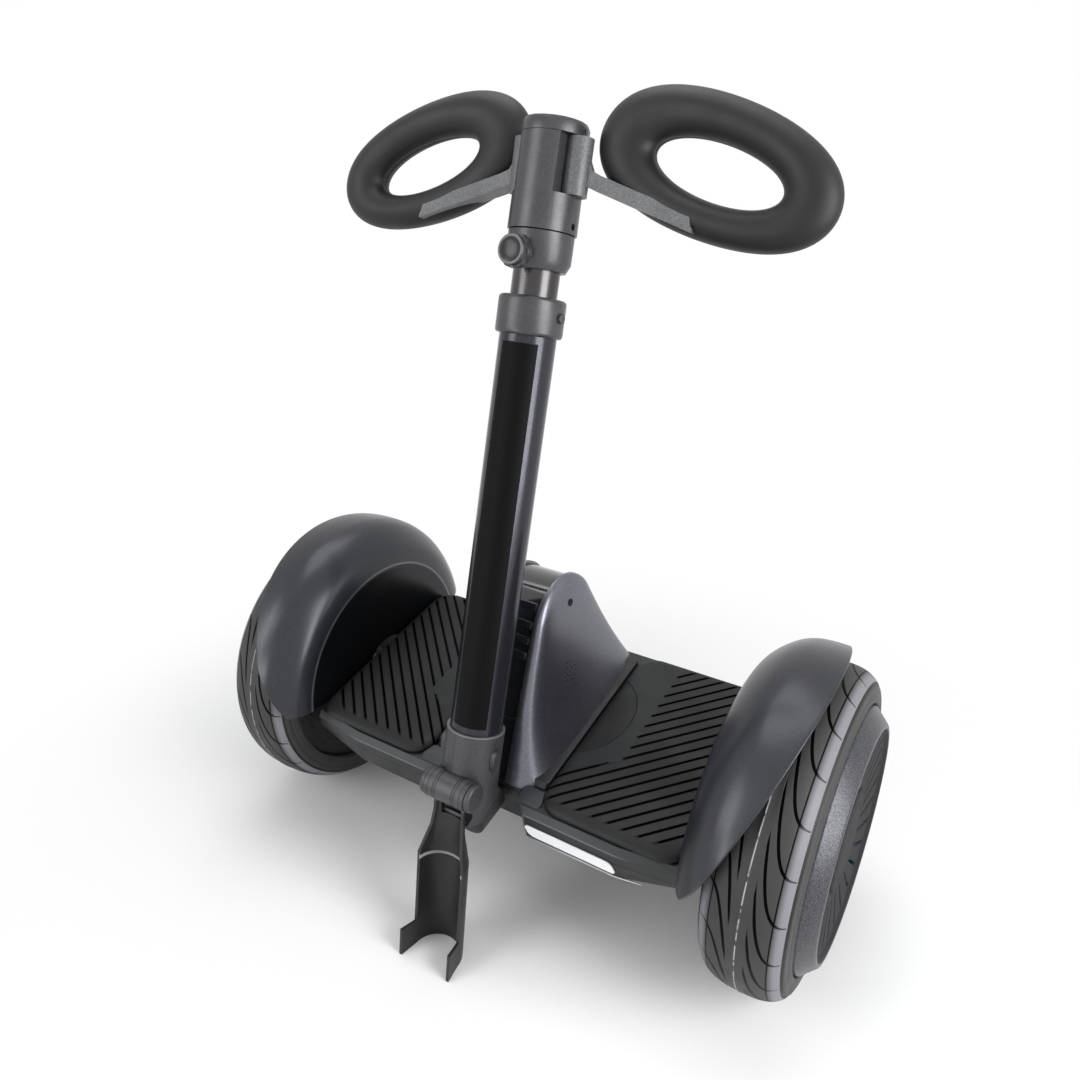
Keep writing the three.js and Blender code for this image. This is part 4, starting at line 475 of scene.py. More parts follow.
def mat_finish(side):
    """Ribs between thin slanting grooves, with a smooth hollow beside the middle. The grooves are painted
    near black as painted shade, and the ribs are painted darker towards each groove as painted shade beside
    it.
    """
    paint = worn(
        "tread_mat_" + side, (0.0085, 0.009, 0.0095), 0.6,
        {"span": 0.12, "rough": (0.5, 0.66), "scale": 18}, specular=0.3,
    )
    x, y, _ = paint.local(DECK)
    x = abs(x)
    slant = (y - x + RIB_START) / RIB_PITCH
    across = (0.5 - abs(paint.fraction(slant) - 0.5)) * (RIB_PITCH / math.sqrt(2))
    forward = paint.clip((FLARE_START - y) / FLARE_LENGTH)
    inner = RIBS_INNER - (forward ** FLARE_POWER) * FLARE_REACH
    front = paint.remap(x, CORNER_START, CORNER_END, RIBS_FRONT, RIBS_FRONT + CORNER_RISE)
    field = paint.remap(x - inner, 0, 1.6) * paint.remap(y - front, 0, 5) * paint.remap(177.5 - x, 0, 2.5)
    groove = paint.line(across, GROOVE_HALF, 0.45) * field * paint.remap(93.5 - y, 0, 1.5)
    round_x, round_y = (x - 45) / 41, (y - 10) / 50
    hollow = paint.remap(paint.root(round_x * round_x + round_y * round_y), 1.012, 0.988)
    smooth = (1 - field) * (1 - hollow) * paint.remap(y, -58, -50)
    rib = paint.remap(across, 1.2, 3.6) * field
    paint.recolor(smooth * 0.7, (0.017, 0.02, 0.021))
    # Painted shade: the ribs are lighter in their middles and darker towards the grooves, and the grooves are
    # painted near black and made metallic so that they reflect nothing.
    paint.recolor(rib * 0.5, (0.02, 0.02, 0.021))
    paint.recolor(groove, (0.001, 0.001, 0.001))
    paint.feed("Metallic", groove)
    paint.emboss(1 - hollow, 0.0007)
    paint.grain(0.0011, 0.00007)
    return paint


def hub_finish():
    """Sparkling silvery lacquer on the cone and its crest, with a darker dish inside them."""
    paint = worn(
        "hub_grey", (0.06, 0.061, 0.068), 0.4,
        {"span": 0.05, "rough": (0.36, 0.44), "scale": 24, "speck": 0.0008, "fleck": 0.45},
        metallic=0.5, specular=0.35,
    )
    _, y, z = paint.local(WHEELS["right"])
    radius = paint.root(y * y + z * z)
    dish = paint.remap(radius, 90.5, 89)
    paint.recolor(dish * 0.94, (0.007, 0.007, 0.008))
    paint.feed("Metallic", 0.5 - dish * 0.45)
    paint.feed("Roughness", paint.remap(dish, 0, 1, 0.38, 0.85, smooth=False))
    paint.emboss(paint.line(abs(radius - 85.2), 0.35, 0.25), -0.0003)
    return paint


def hump_finish():
    """Satin lacquer with a small ring of sound holes on each side, painted near black as painted shade inside
    the holes.
    """
    paint = worn(
        "hump_blue_grey", (0.155, 0.156, 0.182), 0.36,
        {"span": 0.08, "rough": (0.33, 0.4), "scale": 16, "speck": 0.0009, "fleck": 0.15},
        metallic=0.92, coat=0.05,
    )
    _, y, z = paint.local(DECK)
    side, rise = y - SOUND_HOLES_Y, z - SOUND_HOLES_Z
    radius = paint.root(side * side + rise * rise)
    angle = paint.math("ARCTAN2", rise, side)
    holes = paint.line(radius, 0.75, 0.2)
    for ring, count in ((4.2, 6), (8.4, 12)):
        swing = (paint.fraction(angle * (count / TAU) + 0.5) - 0.5) * (TAU / count) * ring
        away = radius - ring
        holes = paint.math("MAXIMUM", holes, paint.line(paint.root(swing * swing + away * away), 0.75, 0.2))
    # Painted shade: the sound holes are painted near black.
    paint.recolor(holes, (0.004, 0.004, 0.004))
    paint.emboss(1 - holes, 0.0006)
    return paint


def fender_finish():
    """Glossy dark lacquer, with a plain dark panel inside the arch and a painted highlight along the bevel
    round it.
    """
    paint = worn(
        "fender_blue_grey", (0.028, 0.029, 0.035), 0.24,
        {"span": 0.08, "rough": (0.28, 0.36), "scale": 14, "speck": 0.0006, "fleck": 0.2},
        metallic=0.45, coat=0.2, coat_roughness=0.24, specular=0.4,
    )
    x, y, z = paint.local(DECK)
    radius = paint.root(y * y + z * z)
    flat = paint.remap(abs(x), 183.4, 182.6)
    paint.recolor(flat * paint.remap(radius, 104.5, 103.5), (0.0045, 0.005, 0.0065))
    # Painted highlight: a pale line along the bevel between the crown and the inner panel.
    bevel = paint.line(abs(radius - 105.6), 0.9, 0.5) * paint.remap(abs(x), 184.6, 183.6)
    paint.recolor(bevel, (0.12, 0.125, 0.14))
    return paint


def tube_finish():
    """Dark satin tube with one bare, matt panel along the side where a label would be."""
    paint = worn(
        "tube_dark", (0.04, 0.04, 0.048), 0.3,
        {"span": 0.08, "rough": (0.26, 0.33), "scale": 20, "speck": 0.0006}, metallic=0.7, specular=0.35,
    )
    x, y, z = paint.local(STEM)
    angle = paint.math("ARCTAN2", x, -1 * y) * (180 / math.pi)
    panel = paint.line(abs(angle - 14.5), 39.5, 0.7) * paint.line(abs(z - 153), 147, 0.4)
    paint.recolor(panel, (0.009, 0.009, 0.0095))
    paint.feed("Metallic", 0.7 + panel * 0.3)
    paint.feed("Roughness", paint.remap(panel, 0, 1, 0.21, 0.55, smooth=False))
    paint.emboss(panel, 0.0002)
    return paint


def cast_finish():
    """Cast grey with a bright rim round the socket's mouth and the faint line where its mould parts."""
    paint = worn(
        "cast_grey", (0.036, 0.036, 0.04), 0.46,
        {"span": 0.12, "rough": (0.4, 0.52), "scale": 45, "speck": 0.0012, "fleck": 0.18},
        (0.0009, 0.0001), metallic=0.15,
    )
    x, y, z = paint.local(STEM)
    rim = paint.line(abs(z + 0.2), 0.5, 0.4)
    part = paint.line(abs(x + 3), 0.3, 0.3) * paint.remap(y, -19, -21) * paint.line(abs(z + 22), 22, 1)
    paint.recolor(rim * 0.8, (0.2, 0.2, 0.21))
    paint.emboss(part, 0.0003)
    return paint


def shell_finish():
    """Black moulded shell, paler along the narrow strip in front of the mats, with a painted highlight along
    the top front edge.
    """
    paint = worn(
        "shell_black", (0.009, 0.0095, 0.011), 0.45, {"rough": (0.38, 0.5), "scale": 30}, (0.0009, 0.00005),
        specular=0.4,
    )
    _, y, z = paint.local(DECK)
    strip = paint.remap(y, -96.6, -97.4) * paint.remap(z, 15.4, 16.6)
    paint.recolor(strip * 0.85, (0.012, 0.015, 0.017))
    # Painted highlight: a pale line along the top front edge of the deck.
    paint.recolor(paint.line(abs(z - 16) + abs(y + 104) * 0.5, 0.7, 0.5), (0.09, 0.1, 0.105))
    return paint


def barrel_finish():
    """Cast grey of the kickstand, with its hinge barrel painted lighter as a painted sheen, turned rings on
    the barrel painted dark as painted shade in their grooves, and a painted highlight on the lip in its
    window.
    """
    paint = worn(
        "cast_barrel", (0.013, 0.013, 0.0145), 0.42, {"rough": (0.36, 0.46), "scale": 40}, (0.0012, 0.00006),
        specular=0.35,
    )
    x, y, z = paint.local(KICK)
    near = paint.remap(paint.root(y * y + z * z), 16, 14.5)
    # Painted sheen: the hinge barrel is painted lighter than the rest.
    paint.recolor(near, (0.05, 0.05, 0.054))
    rings = None
    for place in (8, 10.2, 17.2, 20.4):
        ring = paint.line(abs(abs(x) - place), 0.45, 0.25) * near
        rings = ring if rings is None else rings + ring
    # Painted shade in the grooves of the turned rings.
    paint.recolor(rings * 0.7, (0.008, 0.008, 0.009))
    paint.emboss(1 - rings, 0.0006)
    inside = paint.remap(paint.root(x * x + (y + 9.5) * (y + 9.5)), 21.6, 21.2)
    # Painted highlight: a pale line along the lip at the top of the window.
    paint.recolor(paint.line(abs(z + 67.6), 1.7, 0.6) * inside, (0.26, 0.26, 0.265))
    return paint


def knob_finish():
    """Black moulding, with a painted highlight on the raised rim of its dished face and painted shade in the
    dish.
    """
    paint = worn("knob_black", (0.022, 0.022, 0.025), 0.38, {"span": 0.1, "rough": (0.32, 0.42), "scale": 60})
    x, y, z = paint.local(STEM)
    rise = z - KNOB_Z
    radius = paint.root(x * x + rise * rise)
    front = paint.remap(y, -34.6, -35)
    # Painted highlight on the raised rim, and painted shade in the dish inside it.
    paint.recolor(paint.line(abs(radius - 9.2), 0.7, 0.4) * front, (0.12, 0.12, 0.125))
    paint.recolor(paint.line(radius, 7.7, 0.4) * front, (0.008, 0.008, 0.008))
    return paint


def finishes():
    """Every finish, by the name that the pieces call it."""
    soft = {"span": 0.1, "rough": (0.4, 0.52), "scale": 30}
    shiny = {"span": 0.06, "rough": (0.08, 0.16), "scale": 25}
    brushed = {"span": 0.1, "rough": (0.24, 0.4), "scale": 60}
    cast = {"span": 0.1, "rough": (0.38, 0.5), "scale": 45, "speck": 0.0012, "fleck": 0.1}
    satin = {"span": 0.1, "rough": (0.3, 0.4), "scale": 45, "speck": 0.0012, "fleck": 0.1}
    speckled = {"span": 0.1, "rough": (0.4, 0.54), "scale": 45, "speck": 0.0011, "fleck": 0.22}
    bright = {"span": 0.04, "rough": (0.2, 0.28), "scale": 50}
    skin = {"span": 0.1, "rough": (0.46, 0.56)}
    sided = {}
    for side in SIDES:
        sided["tyre_" + side] = tyre_finish(side)
        sided["mat_" + side] = mat_finish(side)
    return {
        **sided,
        "fender": fender_finish(),
        "hump": hump_finish(),
        "gloss": worn("gloss_black", (0.012, 0.013, 0.016), 0.12, shiny, coat=0.6),
        "shell": shell_finish(),
        "rubber": worn("plain_rubber", (0.014, 0.014, 0.015), 0.6, soft, (0.0012, 0.00008), specular=0.35),
        "ledge": worn("ledge_grey", (0.03, 0.035, 0.039), 0.42, soft, (0.0009, 0.00005), specular=0.4),
        "cast": cast_finish(),
        "barrel": barrel_finish(),
        "tube": tube_finish(),
        "polished": worn("tube_polished", (0.075, 0.072, 0.072), 0.22, bright, metallic=1.0),
        "head": worn("head_grey", (0.058, 0.058, 0.062), 0.36, satin, (0.0011, 0.00003), metallic=0.5),
        "arm": worn("arm_grey", (0.1, 0.102, 0.106), 0.5, speckled, (0.001, 0.0001), metallic=0.15),
        "knob": knob_finish(),
        "ring": worn("ring_soft", (0.0075, 0.0075, 0.008), 0.5, skin, (0.0008, 0.00005), specular=0.35),
        "hub": hub_finish(),
        "motor": worn("motor_black", (0.02, 0.02, 0.022), 0.4, brushed, metallic=0.4),
        "red": worn("lamp_red", (0.25, 0.008, 0.01), 0.16, shiny, coat=0.5),
        "steel": worn("bare_steel", (0.42, 0.43, 0.45), 0.33, brushed, metallic=1.0),
        "winding": worn("motor_winding", (0.35, 0.14, 0.05), 0.4, brushed, (0.002, 0.0003), metallic=0.8),
        "alloy": worn("frame_alloy", (0.3, 0.3, 0.31), 0.42, cast, (0.0012, 0.0001), metallic=0.9),
        "badge": worn("badge_white", (0.86, 0.88, 0.9), 0.25, {"span": 0.01, "rough": (0.2, 0.28)}),
        "battery": worn("battery_wrap", (0.03, 0.12, 0.3), 0.3, soft, (0.004, 0.0002)),
        "board": worn("board_green", (0.02, 0.09, 0.04), 0.4, soft),
        # Painted highlight: the pale metallic strip along the foot of the front wall.
        "edge_highlight": worn("painted_edge_highlight", (0.5, 0.5, 0.5), 0.3, brushed, metallic=0.8),
        # Painted shade: a near black finish put where the peephole's hole is.
        "hollow": worn("painted_hole_shade", (0.0012, 0.0012, 0.0012), 0.7, soft, specular=0.1),
        "lamp": lamp_finish(),
    }


def lamp_finish():
    """Pale cyan light behind a frosted window, brighter in the middle of each short patch."""
    paint = worn("lamp_cyan", (0.05, 0.5, 0.62), 0.25, {"span": 0.05, "rough": (0.2, 0.3)})
    _, y, z = paint.local(WHEELS["right"])
    angle = paint.math("ARCTAN2", z, y) * (1 / TAU)
    patch = paint.line(abs(paint.fraction(angle * 2) - 0.5), 0.24, 0.12)
    paint.feed("Emission Color", paint.mix(patch, (0.0, 0.02, 0.025), (0.05, 0.75, 0.9)))
    paint.shader.inputs["Emission Strength"].default_value = 5.0
    paint.recolor(1 - patch, (0.002, 0.01, 0.012))
    return paint


FINISHES = finishes()


# Wheels

TYRE_SIDE = (
    (131, 0), (131, 0.5), (130.7, 1), (130.65, 5), (130.4, 10), (129.9, 14), (129, 18), (127.8, 21.4),
    (126.1, 24.6), (124.2, 27.2), (122.6, 28.8), (121.8, 29.4), (120.9, 28.9), (120, 29.3), (119.6, 30.6),
    (119, 31.2), (117, 31.9), (115.6, 32.2), (114.8, 31.8), (113.8, 32.1), (112.5, 32.9), (110, 33.3),
    (107.8, 33.4), (106.4, 33.1), (105.75, 32.4), (105.75, 21), (98.2, 19.6),
)
COVER_FACE = (
    (103.2, 26), (104, 26.4), (104, 33.7), (103.5, 34.5), (98.5, 39.5), (94.2, 43.8), (93, 44.7), (91.8, 45),
    (90.2, 45), (89, 44.6), (87, 42.8), (86, 42.2), (82, 41.8), (76, 41.3), (70, 40.8), (64, 40.2),
    (58, 39.7), (52, 39.1), (48, 38.8), (44, 38.4), (40.2, 38),
)
SLOT_INNER, SLOT_OUTER = 48, 82
SLOT_COUNT, SLOT_STEPS = 26, 6
TWIST_OUTER, SLOT_TWIST = 86, 0.2


def tyre(side):
    half = list(TYRE_SIDE)
    profile = [(radius, -out) for radius, out in reversed(half[1:])] + half
    mesh = merge(lathe(bmesh.new(), profile + [profile[0]], 192))
    finish(
        mesh, "tyre_tread_" + side, "tyre_" + side, "wheel_" + side, WHEELS[side],
        ("tyre_" + side,), 50,
    )


def in_slot(face):
    """Whether a face of the cover lies where one of its slots is cut through."""
    middle = face.calc_center_median()
    radius = math.hypot(middle.y, middle.z)
    step = math.floor(math.atan2(middle.z, middle.y) / TAU * SLOT_COUNT * SLOT_STEPS)
    return SLOT_INNER < radius < SLOT_OUTER and step % SLOT_STEPS == 0


def slotted_cover(side):
    """The wheel's cone and dish, with slots that slant round the dish."""
    mesh = lathe(bmesh.new(), COVER_FACE, SLOT_COUNT * SLOT_STEPS)
    bmesh.ops.delete(mesh, geom=[face for face in mesh.faces if in_slot(face)], context="FACES")
    for vert in mesh.verts:
        radius = math.hypot(vert.co.y, vert.co.z)
        if radius < TWIST_OUTER:
            vert.co = turn((radius - SLOT_INNER) / SLOT_OUTER * SLOT_TWIST, "X") @ vert.co
    outward(mesh)
    piece = finish(
        mesh, "slotted_cover_" + side, "hub", "wheel_" + side, WHEELS[side],
        ("hub_cover_" + side,), 40,
    )
    wall = piece.modifiers.new("wall", "SOLIDIFY")
    wall.thickness, wall.offset = 0.0024, -1


def hub_cap(side):
    profile = (
        (0, 26), (47, 26), (48, 27), (48, 32.4), (39.3, 32.4), (39.3, 38.6), (38.8, 39.2), (36, 40.2),
        (34.4, 40.5), (31, 40.5), (30.6, 40.1), (29.6, 40.1), (29.2, 40.5), (12, 40.8), (0, 40.8),
    )
    mesh = merge(lathe(bmesh.new(), profile, 96))
    finish(
        mesh, "hub_cap_" + side, "hub", "wheel_" + side, WHEELS[side],
        ("hub_boss_" + side,), 40,
    )


def wheel(side):
    tyre(side)
    slotted_cover(side)
    hub_cap(side)
    dressed("motor_rim_" + side, "motor", 0.0005)
    dressed("motor_side_cover_" + side, "motor", 0.0005)
    repaint("hub_light_ring_" + side, "lamp")
    repaint("wheel_bearing_" + side, "steel")
    repaint("motor_stator_" + side, "winding")
    repaint("axle_" + side, "steel")


# Fenders

FENDER_SECTION = (
    (182, 30), (182, 62), (182, 96), (182, 104), (183.6, 113.8), (187.6, 122.8), (195.6, 131.4),
    (205.2, 138.3), (213.6, 141.6), (222, 143.1), (236.7, 143.2), (251.5, 141.8),
)
FENDER_TIP_X, FENDER_PEAK_X = 191, 251.5
FENDER_MIDDLE, FENDER_HALF = math.radians(84), math.radians(82)
FENDER_WALL = 2.8


def smooth_path(points, share):
    """The point at a share of a smooth curve through points that are spaced evenly along it."""
    place = min(max(share, 0), 1) * (len(points) - 1)
    i = min(int(place), len(points) - 2)
    t = place - i
    kept = [min(max(k, 0), len(points) - 1) for k in range(i - 1, i + 3)]
    before, start, end, after = (Vector(points[k]) for k in kept)
    lean, settle = (end - before) / 2, (after - start) / 2
    blend = t * t * (3 - 2 * t)
    return start + (end - start) * blend + lean * (t * (1 - t) ** 2) - settle * (t * t * (1 - t))


def fender_edge(v):
    """The place in x of the outer edge, with v from -1 at one tip to 1 at the other."""
    return FENDER_PEAK_X - (FENDER_PEAK_X - FENDER_TIP_X) * v * v


def fender_share(edge_x):
    """The share of the section's length at which it reaches an edge, found by halving."""
    low, high = 0.2, 1.0
    for _ in range(24):
        middle = (low + high) / 2
        if smooth_path(FENDER_SECTION, middle).x < edge_x:
            low = middle
        else:
            high = middle
    return high


def fender(side):
    mesh = bmesh.new()

    def place(u, v):
        swing = v * 2 - 1
        angle = FENDER_MIDDLE + swing * FENDER_HALF
        spot = smooth_path(FENDER_SECTION, u * fender_share(fender_edge(swing)))
        return Vector((spot.x, spot.y * math.cos(angle), spot.y * math.sin(angle)))

    sheet(mesh, 56, 120, place)
    outward(mesh)
    if sum(face.normal.z for face in mesh.faces if face.calc_center_median().z > 135) < 0:
        bmesh.ops.reverse_faces(mesh, faces=mesh.faces[:])
    thicken(mesh, FENDER_WALL)
    soften(mesh, 60, 0.9, 3)
    on_deck(mesh, "fender_skin_", side, "fender", "fender_", 50)


# Deck

MAT_INNER, MAT_OUTER, MAT_FRONT, MAT_REAR = 57.5, 179.8, -97, 96
MAT_FOOT, STRIP_FOOT = 21.3, 20.5
MAT_LEVELS = (
    (MAT_FOOT, 0.9), (22.3, 0.2), (23.4, 0), (24.6, 0.4), (25.8, 1.4), (26.8, 3), (27.5, 5.2), (27.8, 7.6),
    (27.9, 10),
)
GROOVED_ABOVE = 27.4
GROOVE_DEPTH, GROOVE_SHORTEST = 1.5, 4
GROOVE_MARGIN, GROOVE_FRONT_MARGIN = 5.5, 3


def groove_runs(offset):
    """The stretches of y on which a mat's groove lies, where x is y plus the offset."""
    runs, start = [], None
    for step in range(364):
        y = step / 2 - 90
        x = y + offset
        forward = min(max((FLARE_START - y) / FLARE_LENGTH, 0), 1)
        corner = min(max((x - CORNER_START) / (CORNER_END - CORNER_START), 0), 1)
        front = RIBS_FRONT + GROOVE_FRONT_MARGIN + corner * CORNER_RISE
        inner = max(RIBS_INNER - forward ** FLARE_POWER * FLARE_REACH, MAT_INNER + GROOVE_MARGIN)
        inside = inner < x < MAT_OUTER - GROOVE_MARGIN and front < y < MAT_REAR - GROOVE_MARGIN
        if inside and start is None:
            start = y
        if start is not None and not inside:
            if y - start > GROOVE_SHORTEST:
                runs.append((start, y))
            start = None
    return runs


def split(mesh, faces, spot, normal):
    """Cuts some faces along a plane."""
    edges = {edge for face in faces for edge in face.edges}
    verts = {vert for face in faces for vert in face.verts}
    bmesh.ops.bisect_plane(mesh, geom=[*verts, *edges, *faces], dist=0.0001, plane_co=spot, plane_no=normal)


def cut_grooves(mesh):
    """Sinks the slanting grooves into the mat's top."""
    across, along = Vector((-1, 1, 0)).normalized(), Vector((1, 1, 0)).normalized()

    def top():
        return [face for face in mesh.faces if min(vert.co.z for vert in face.verts) > GROOVED_ABOVE]

    def strip(spot):
        return [face for face in top() if abs(across.dot(face.calc_center_median() - spot)) < GROOVE_HALF]

    sunk = []
    for step in range(RIB_COUNT):
        offset = RIB_START + (step + 1) * RIB_PITCH
        spot = Vector((offset, 0, 0))
        for sign in (-1, 1):
            split(mesh, top(), spot + across * (sign * GROOVE_HALF), across)
        for run in groove_runs(offset):
            ends = [spot + Vector((y, y, 0)) for y in run]
            for end in ends:
                split(mesh, strip(spot), end, along)
            low, high = (along.dot(end) for end in ends)
            sunk += [face for face in strip(spot) if low < along.dot(face.calc_center_median()) < high]
    moved = bmesh.ops.extrude_face_region(mesh, geom=sunk)["geom"]
    bmesh.ops.delete(mesh, geom=sunk, context="FACES")
    verts = [item for item in moved if isinstance(item, bmesh.types.BMVert)]
    bmesh.ops.translate(mesh, verts=verts, vec=(0, 0, -GROOVE_DEPTH))


def mat(side):
    """A soft pad that is raised level by level, each with its own inset, and then grooved."""
    mesh = bmesh.new()
    middle = (MAT_INNER + MAT_OUTER) / 2, (MAT_FRONT + MAT_REAR) / 2
    half = (MAT_OUTER - MAT_INNER) / 2, (MAT_REAR - MAT_FRONT) / 2
    face = outline_face(mesh, rounded_box(MAT_INNER, MAT_OUTER, MAT_FRONT, MAT_REAR, 20, 10), MAT_FOOT)
    for (low, inset), (high, next_inset) in zip(MAT_LEVELS, MAT_LEVELS[1:]):
        raised = bmesh.ops.extrude_face_region(mesh, geom=[face])["geom"]
        if low > MAT_FOOT:
            bmesh.ops.delete(mesh, geom=[face], context="FACES")
        face = next(item for item in raised if isinstance(item, bmesh.types.BMFace))
        for vert in face.verts:
            vert.co.z = high
            for axis in (0, 1):
                reach = (vert.co[axis] - middle[axis]) * (half[axis] - next_inset) / (half[axis] - inset)
                vert.co[axis] = middle[axis] + reach
    cut_grooves(mesh)
    outward(mesh)
    on_deck(mesh, "tread_mat_", side, "mat_" + side, "foot_mat_")


def badge():
    """The blank plate on the front wall, with its ends leaning to one side."""
    piece = dressed("badge_plate", "badge", 0.0003)
    middle = sum((vert.co.z for vert in piece.data.vertices), 0.0) / len(piece.data.vertices)
    for vert in piece.data.vertices:
        vert.co.x += (middle - vert.co.z) * 0.3


def front_edge_highlight():
    """A thin pale strip along the foot of the front wall, on the badge's side: a painted highlight along the
    shell's lower edge.
    """
    mesh = bmesh.new()
    path = ((50, -10.9), (129, -10.4), (152, -5.2))
    corners = [(x, -104.1, z) for x, z in path] + [(x, -104.1, z + 0.9) for x, z in reversed(path)]
    pulled(mesh, mesh.faces.new([mesh.verts.new(corner) for corner in corners]), (0, 0.9, 0))
    bevelled(finish(mesh, "front_edge_highlight", "edge_highlight", "chassis", DECK, smooth=40), 0.0002)


def flange(side):
    """The raised strip between the hump and the mat, with a sloping front end."""
    mesh = bmesh.new()
    face = outline_face(mesh, rounded_box(40, 56.2, -79.5, 88, 4), STRIP_FOOT)
    for vert in pulled(mesh, face, (0, 0, 6.3)):
        if vert.co.y < -72:
            vert.co.y += 3.5
    soften(mesh, 50, 1.0, 3)
    on_deck(mesh, "hump_flange_", side, "shell")


def ledge(side):
    """The low step in front of the flange, which falls away to the front."""
    mesh = bmesh.new()
    corners = ((38.5, -97), (58, -97), (60, -92.6), (56.6, -81.5), (38.5, -81.5))
    for vert in pulled(mesh, outline_face(mesh, corners, STRIP_FOOT), (0, 0, 3.1)):
        if vert.co.y < -96:
            vert.co.z = 21.6
    soften(mesh, 50, 0.6, 3)
    on_deck(mesh, "deck_ledge_", side, "ledge")


def deck():
    dressed("deck_upper_shell", "shell", 0.0012, 35, 3)
    dressed("deck_lower_shell", "shell", 0.0012, 35, 3)
    repaint("chassis_frame", "alloy")
    repaint("battery_pack", "battery")
    repaint("control_board", "board")
    repaint("pivot_bearing", "steel")
    repaint("centring_block", "rubber")
    badge()
    front_edge_highlight()
    dressed("power_button", "gloss", 0.0004)
    dressed("charge_port", "gloss", 0.0003)
    dressed("charge_port_cap", "rubber", 0.0005)
    for side in SIDES:
        mat(side)
        flange(side)
        ledge(side)
        dressed("tail_lamp_" + side, "red", 0.0006)
        dressed("deck_foot_" + side, "rubber", 0.0006)


# Hump

HUMP_FOOT = 21.3
CREST_Y, CREST_Z, CREST_RADIUS = 17.7, 112.0, 44.0
HUMP_TOP = CREST_Z + CREST_RADIUS
FRONT_LEAN, REAR_LEAN = math.radians(30.5), math.radians(21.3)
BAND_HALF, SIDE_TOP_HALF, SIDE_BASE_HALF = 20.0, 31.0, 54.0
HUMP_WALL = 2.6
PEEPHOLE_Y, PEEPHOLE_Z = 23, 133


def hump_edge(z, lean, sign):
    """The front or rear edge at a height: a round crest over a leaning flank."""
    start_z = CREST_Z + CREST_RADIUS * math.sin(lean)
    if z > start_z:
        return CREST_Y + sign * math.sqrt(max(0.0, CREST_RADIUS ** 2 - (z - CREST_Z) ** 2))
    return CREST_Y + sign * (CREST_RADIUS * math.cos(lean) + (start_z - z) * math.tan(lean))


def hump_half_width(z):
    """How far the side stands from the middle at a height."""
    rise = (z - HUMP_FOOT) / (HUMP_TOP - HUMP_FOOT)
    side = SIDE_TOP_HALF + (SIDE_BASE_HALF - SIDE_TOP_HALF) * (1 - rise) ** 3
    return BAND_HALF + (side - BAND_HALF) * math.sqrt(max(0.0, 1 - rise ** 8))


def hump_shell(side):
    mesh = bmesh.new()

    def place(u, v):
        z = HUMP_TOP - (HUMP_TOP - HUMP_FOOT) * (1 - v) ** 2
        front, rear = hump_edge(z, FRONT_LEAN, -1), hump_edge(z, REAR_LEAN, 1)
        half = hump_half_width(z)
        angle = math.pi * (1 - u)
        across = math.copysign(abs(math.cos(angle)) ** 0.5, math.cos(angle))
        out = 0 if u in (0, 1) else math.sin(angle) ** 0.5
        y = (front + rear) / 2 + (rear - front) / 2 * across
        return Vector((BAND_HALF + (half - BAND_HALF) * out, y, z))

    sheet(mesh, 64, 48, place)
    bmesh.ops.remove_doubles(mesh, verts=mesh.verts[:], dist=0.02)
    outward(mesh)
    if sum(face.normal.x for face in mesh.faces) < 0:
        bmesh.ops.reverse_faces(mesh, faces=mesh.faces[:])
    thicken(mesh, HUMP_WALL)
    soften(mesh, 70, 0.5, 2)
    on_deck(mesh, "hump_side_", side, "hump", "hump_shell_", 50)


def peephole(side):
    """A small dark disc that stands a little proud of the side, painted near black as the shade inside the
    peephole.
    """
    half = hump_half_width(PEEPHOLE_Z)
    profile = ((0, half + 0.2), (2.7, half + 0.4), (3.1, half + 0.45), (3.4, half - 0.6), (0, half - 2.4))
    mesh = merge(lathe(bmesh.new(), profile, 32))
    bmesh.ops.translate(mesh, verts=mesh.verts[:], vec=(0, PEEPHOLE_Y, PEEPHOLE_Z))
    on_deck(mesh, "peephole_", side, "hollow")


def hump():
    for side in SIDES:
        hump_shell(side)
        peephole(side)
    dressed("hump_band", "gloss", 0.0006, 35, 3)


# Stem and mast


def tube_piece(name, node, profile, paint, body):
    mesh = merge(lathe(bmesh.new(), profile, axis="Z"))
    finish(mesh, name, paint, body, STEM, (node,), 40)


def release_button(side):
    """The CAD button with a raised island on its face, inside a narrow groove."""
    piece = dressed("release_button_" + side, "cast", 0.0004, 35, 2)
    mesh = bmesh.new()
    mesh.from_mesh(piece.data)
    cap = max(mesh.faces, key=lambda face: abs(face.calc_center_median().x) + face.calc_area() * 1000)
    for inset, depth in ((0.0011, 0.0), (0.0003, -0.0006), (0.0009, 0.0), (0.0003, 0.0009)):
        bmesh.ops.inset_individual(mesh, faces=[cap], thickness=inset, depth=depth)
    mesh.to_mesh(piece.data)
    mesh.free()


def latch():
    """The catch inside the kickstand's window: a slanting bar and a round pin behind it."""
    mesh = bmesh.new()
    block(mesh, (-9.3, 3.6, -25.6), (9.3, 7.4, -22.4))
    peg(mesh, 2.4, -9.3, 9.3, 6.2, -18.2, "X", 24)
    soften(mesh, 50, 0.5, 2)
    finish(mesh, "latch_bar", "head", "kickstand", KICK, smooth=40)


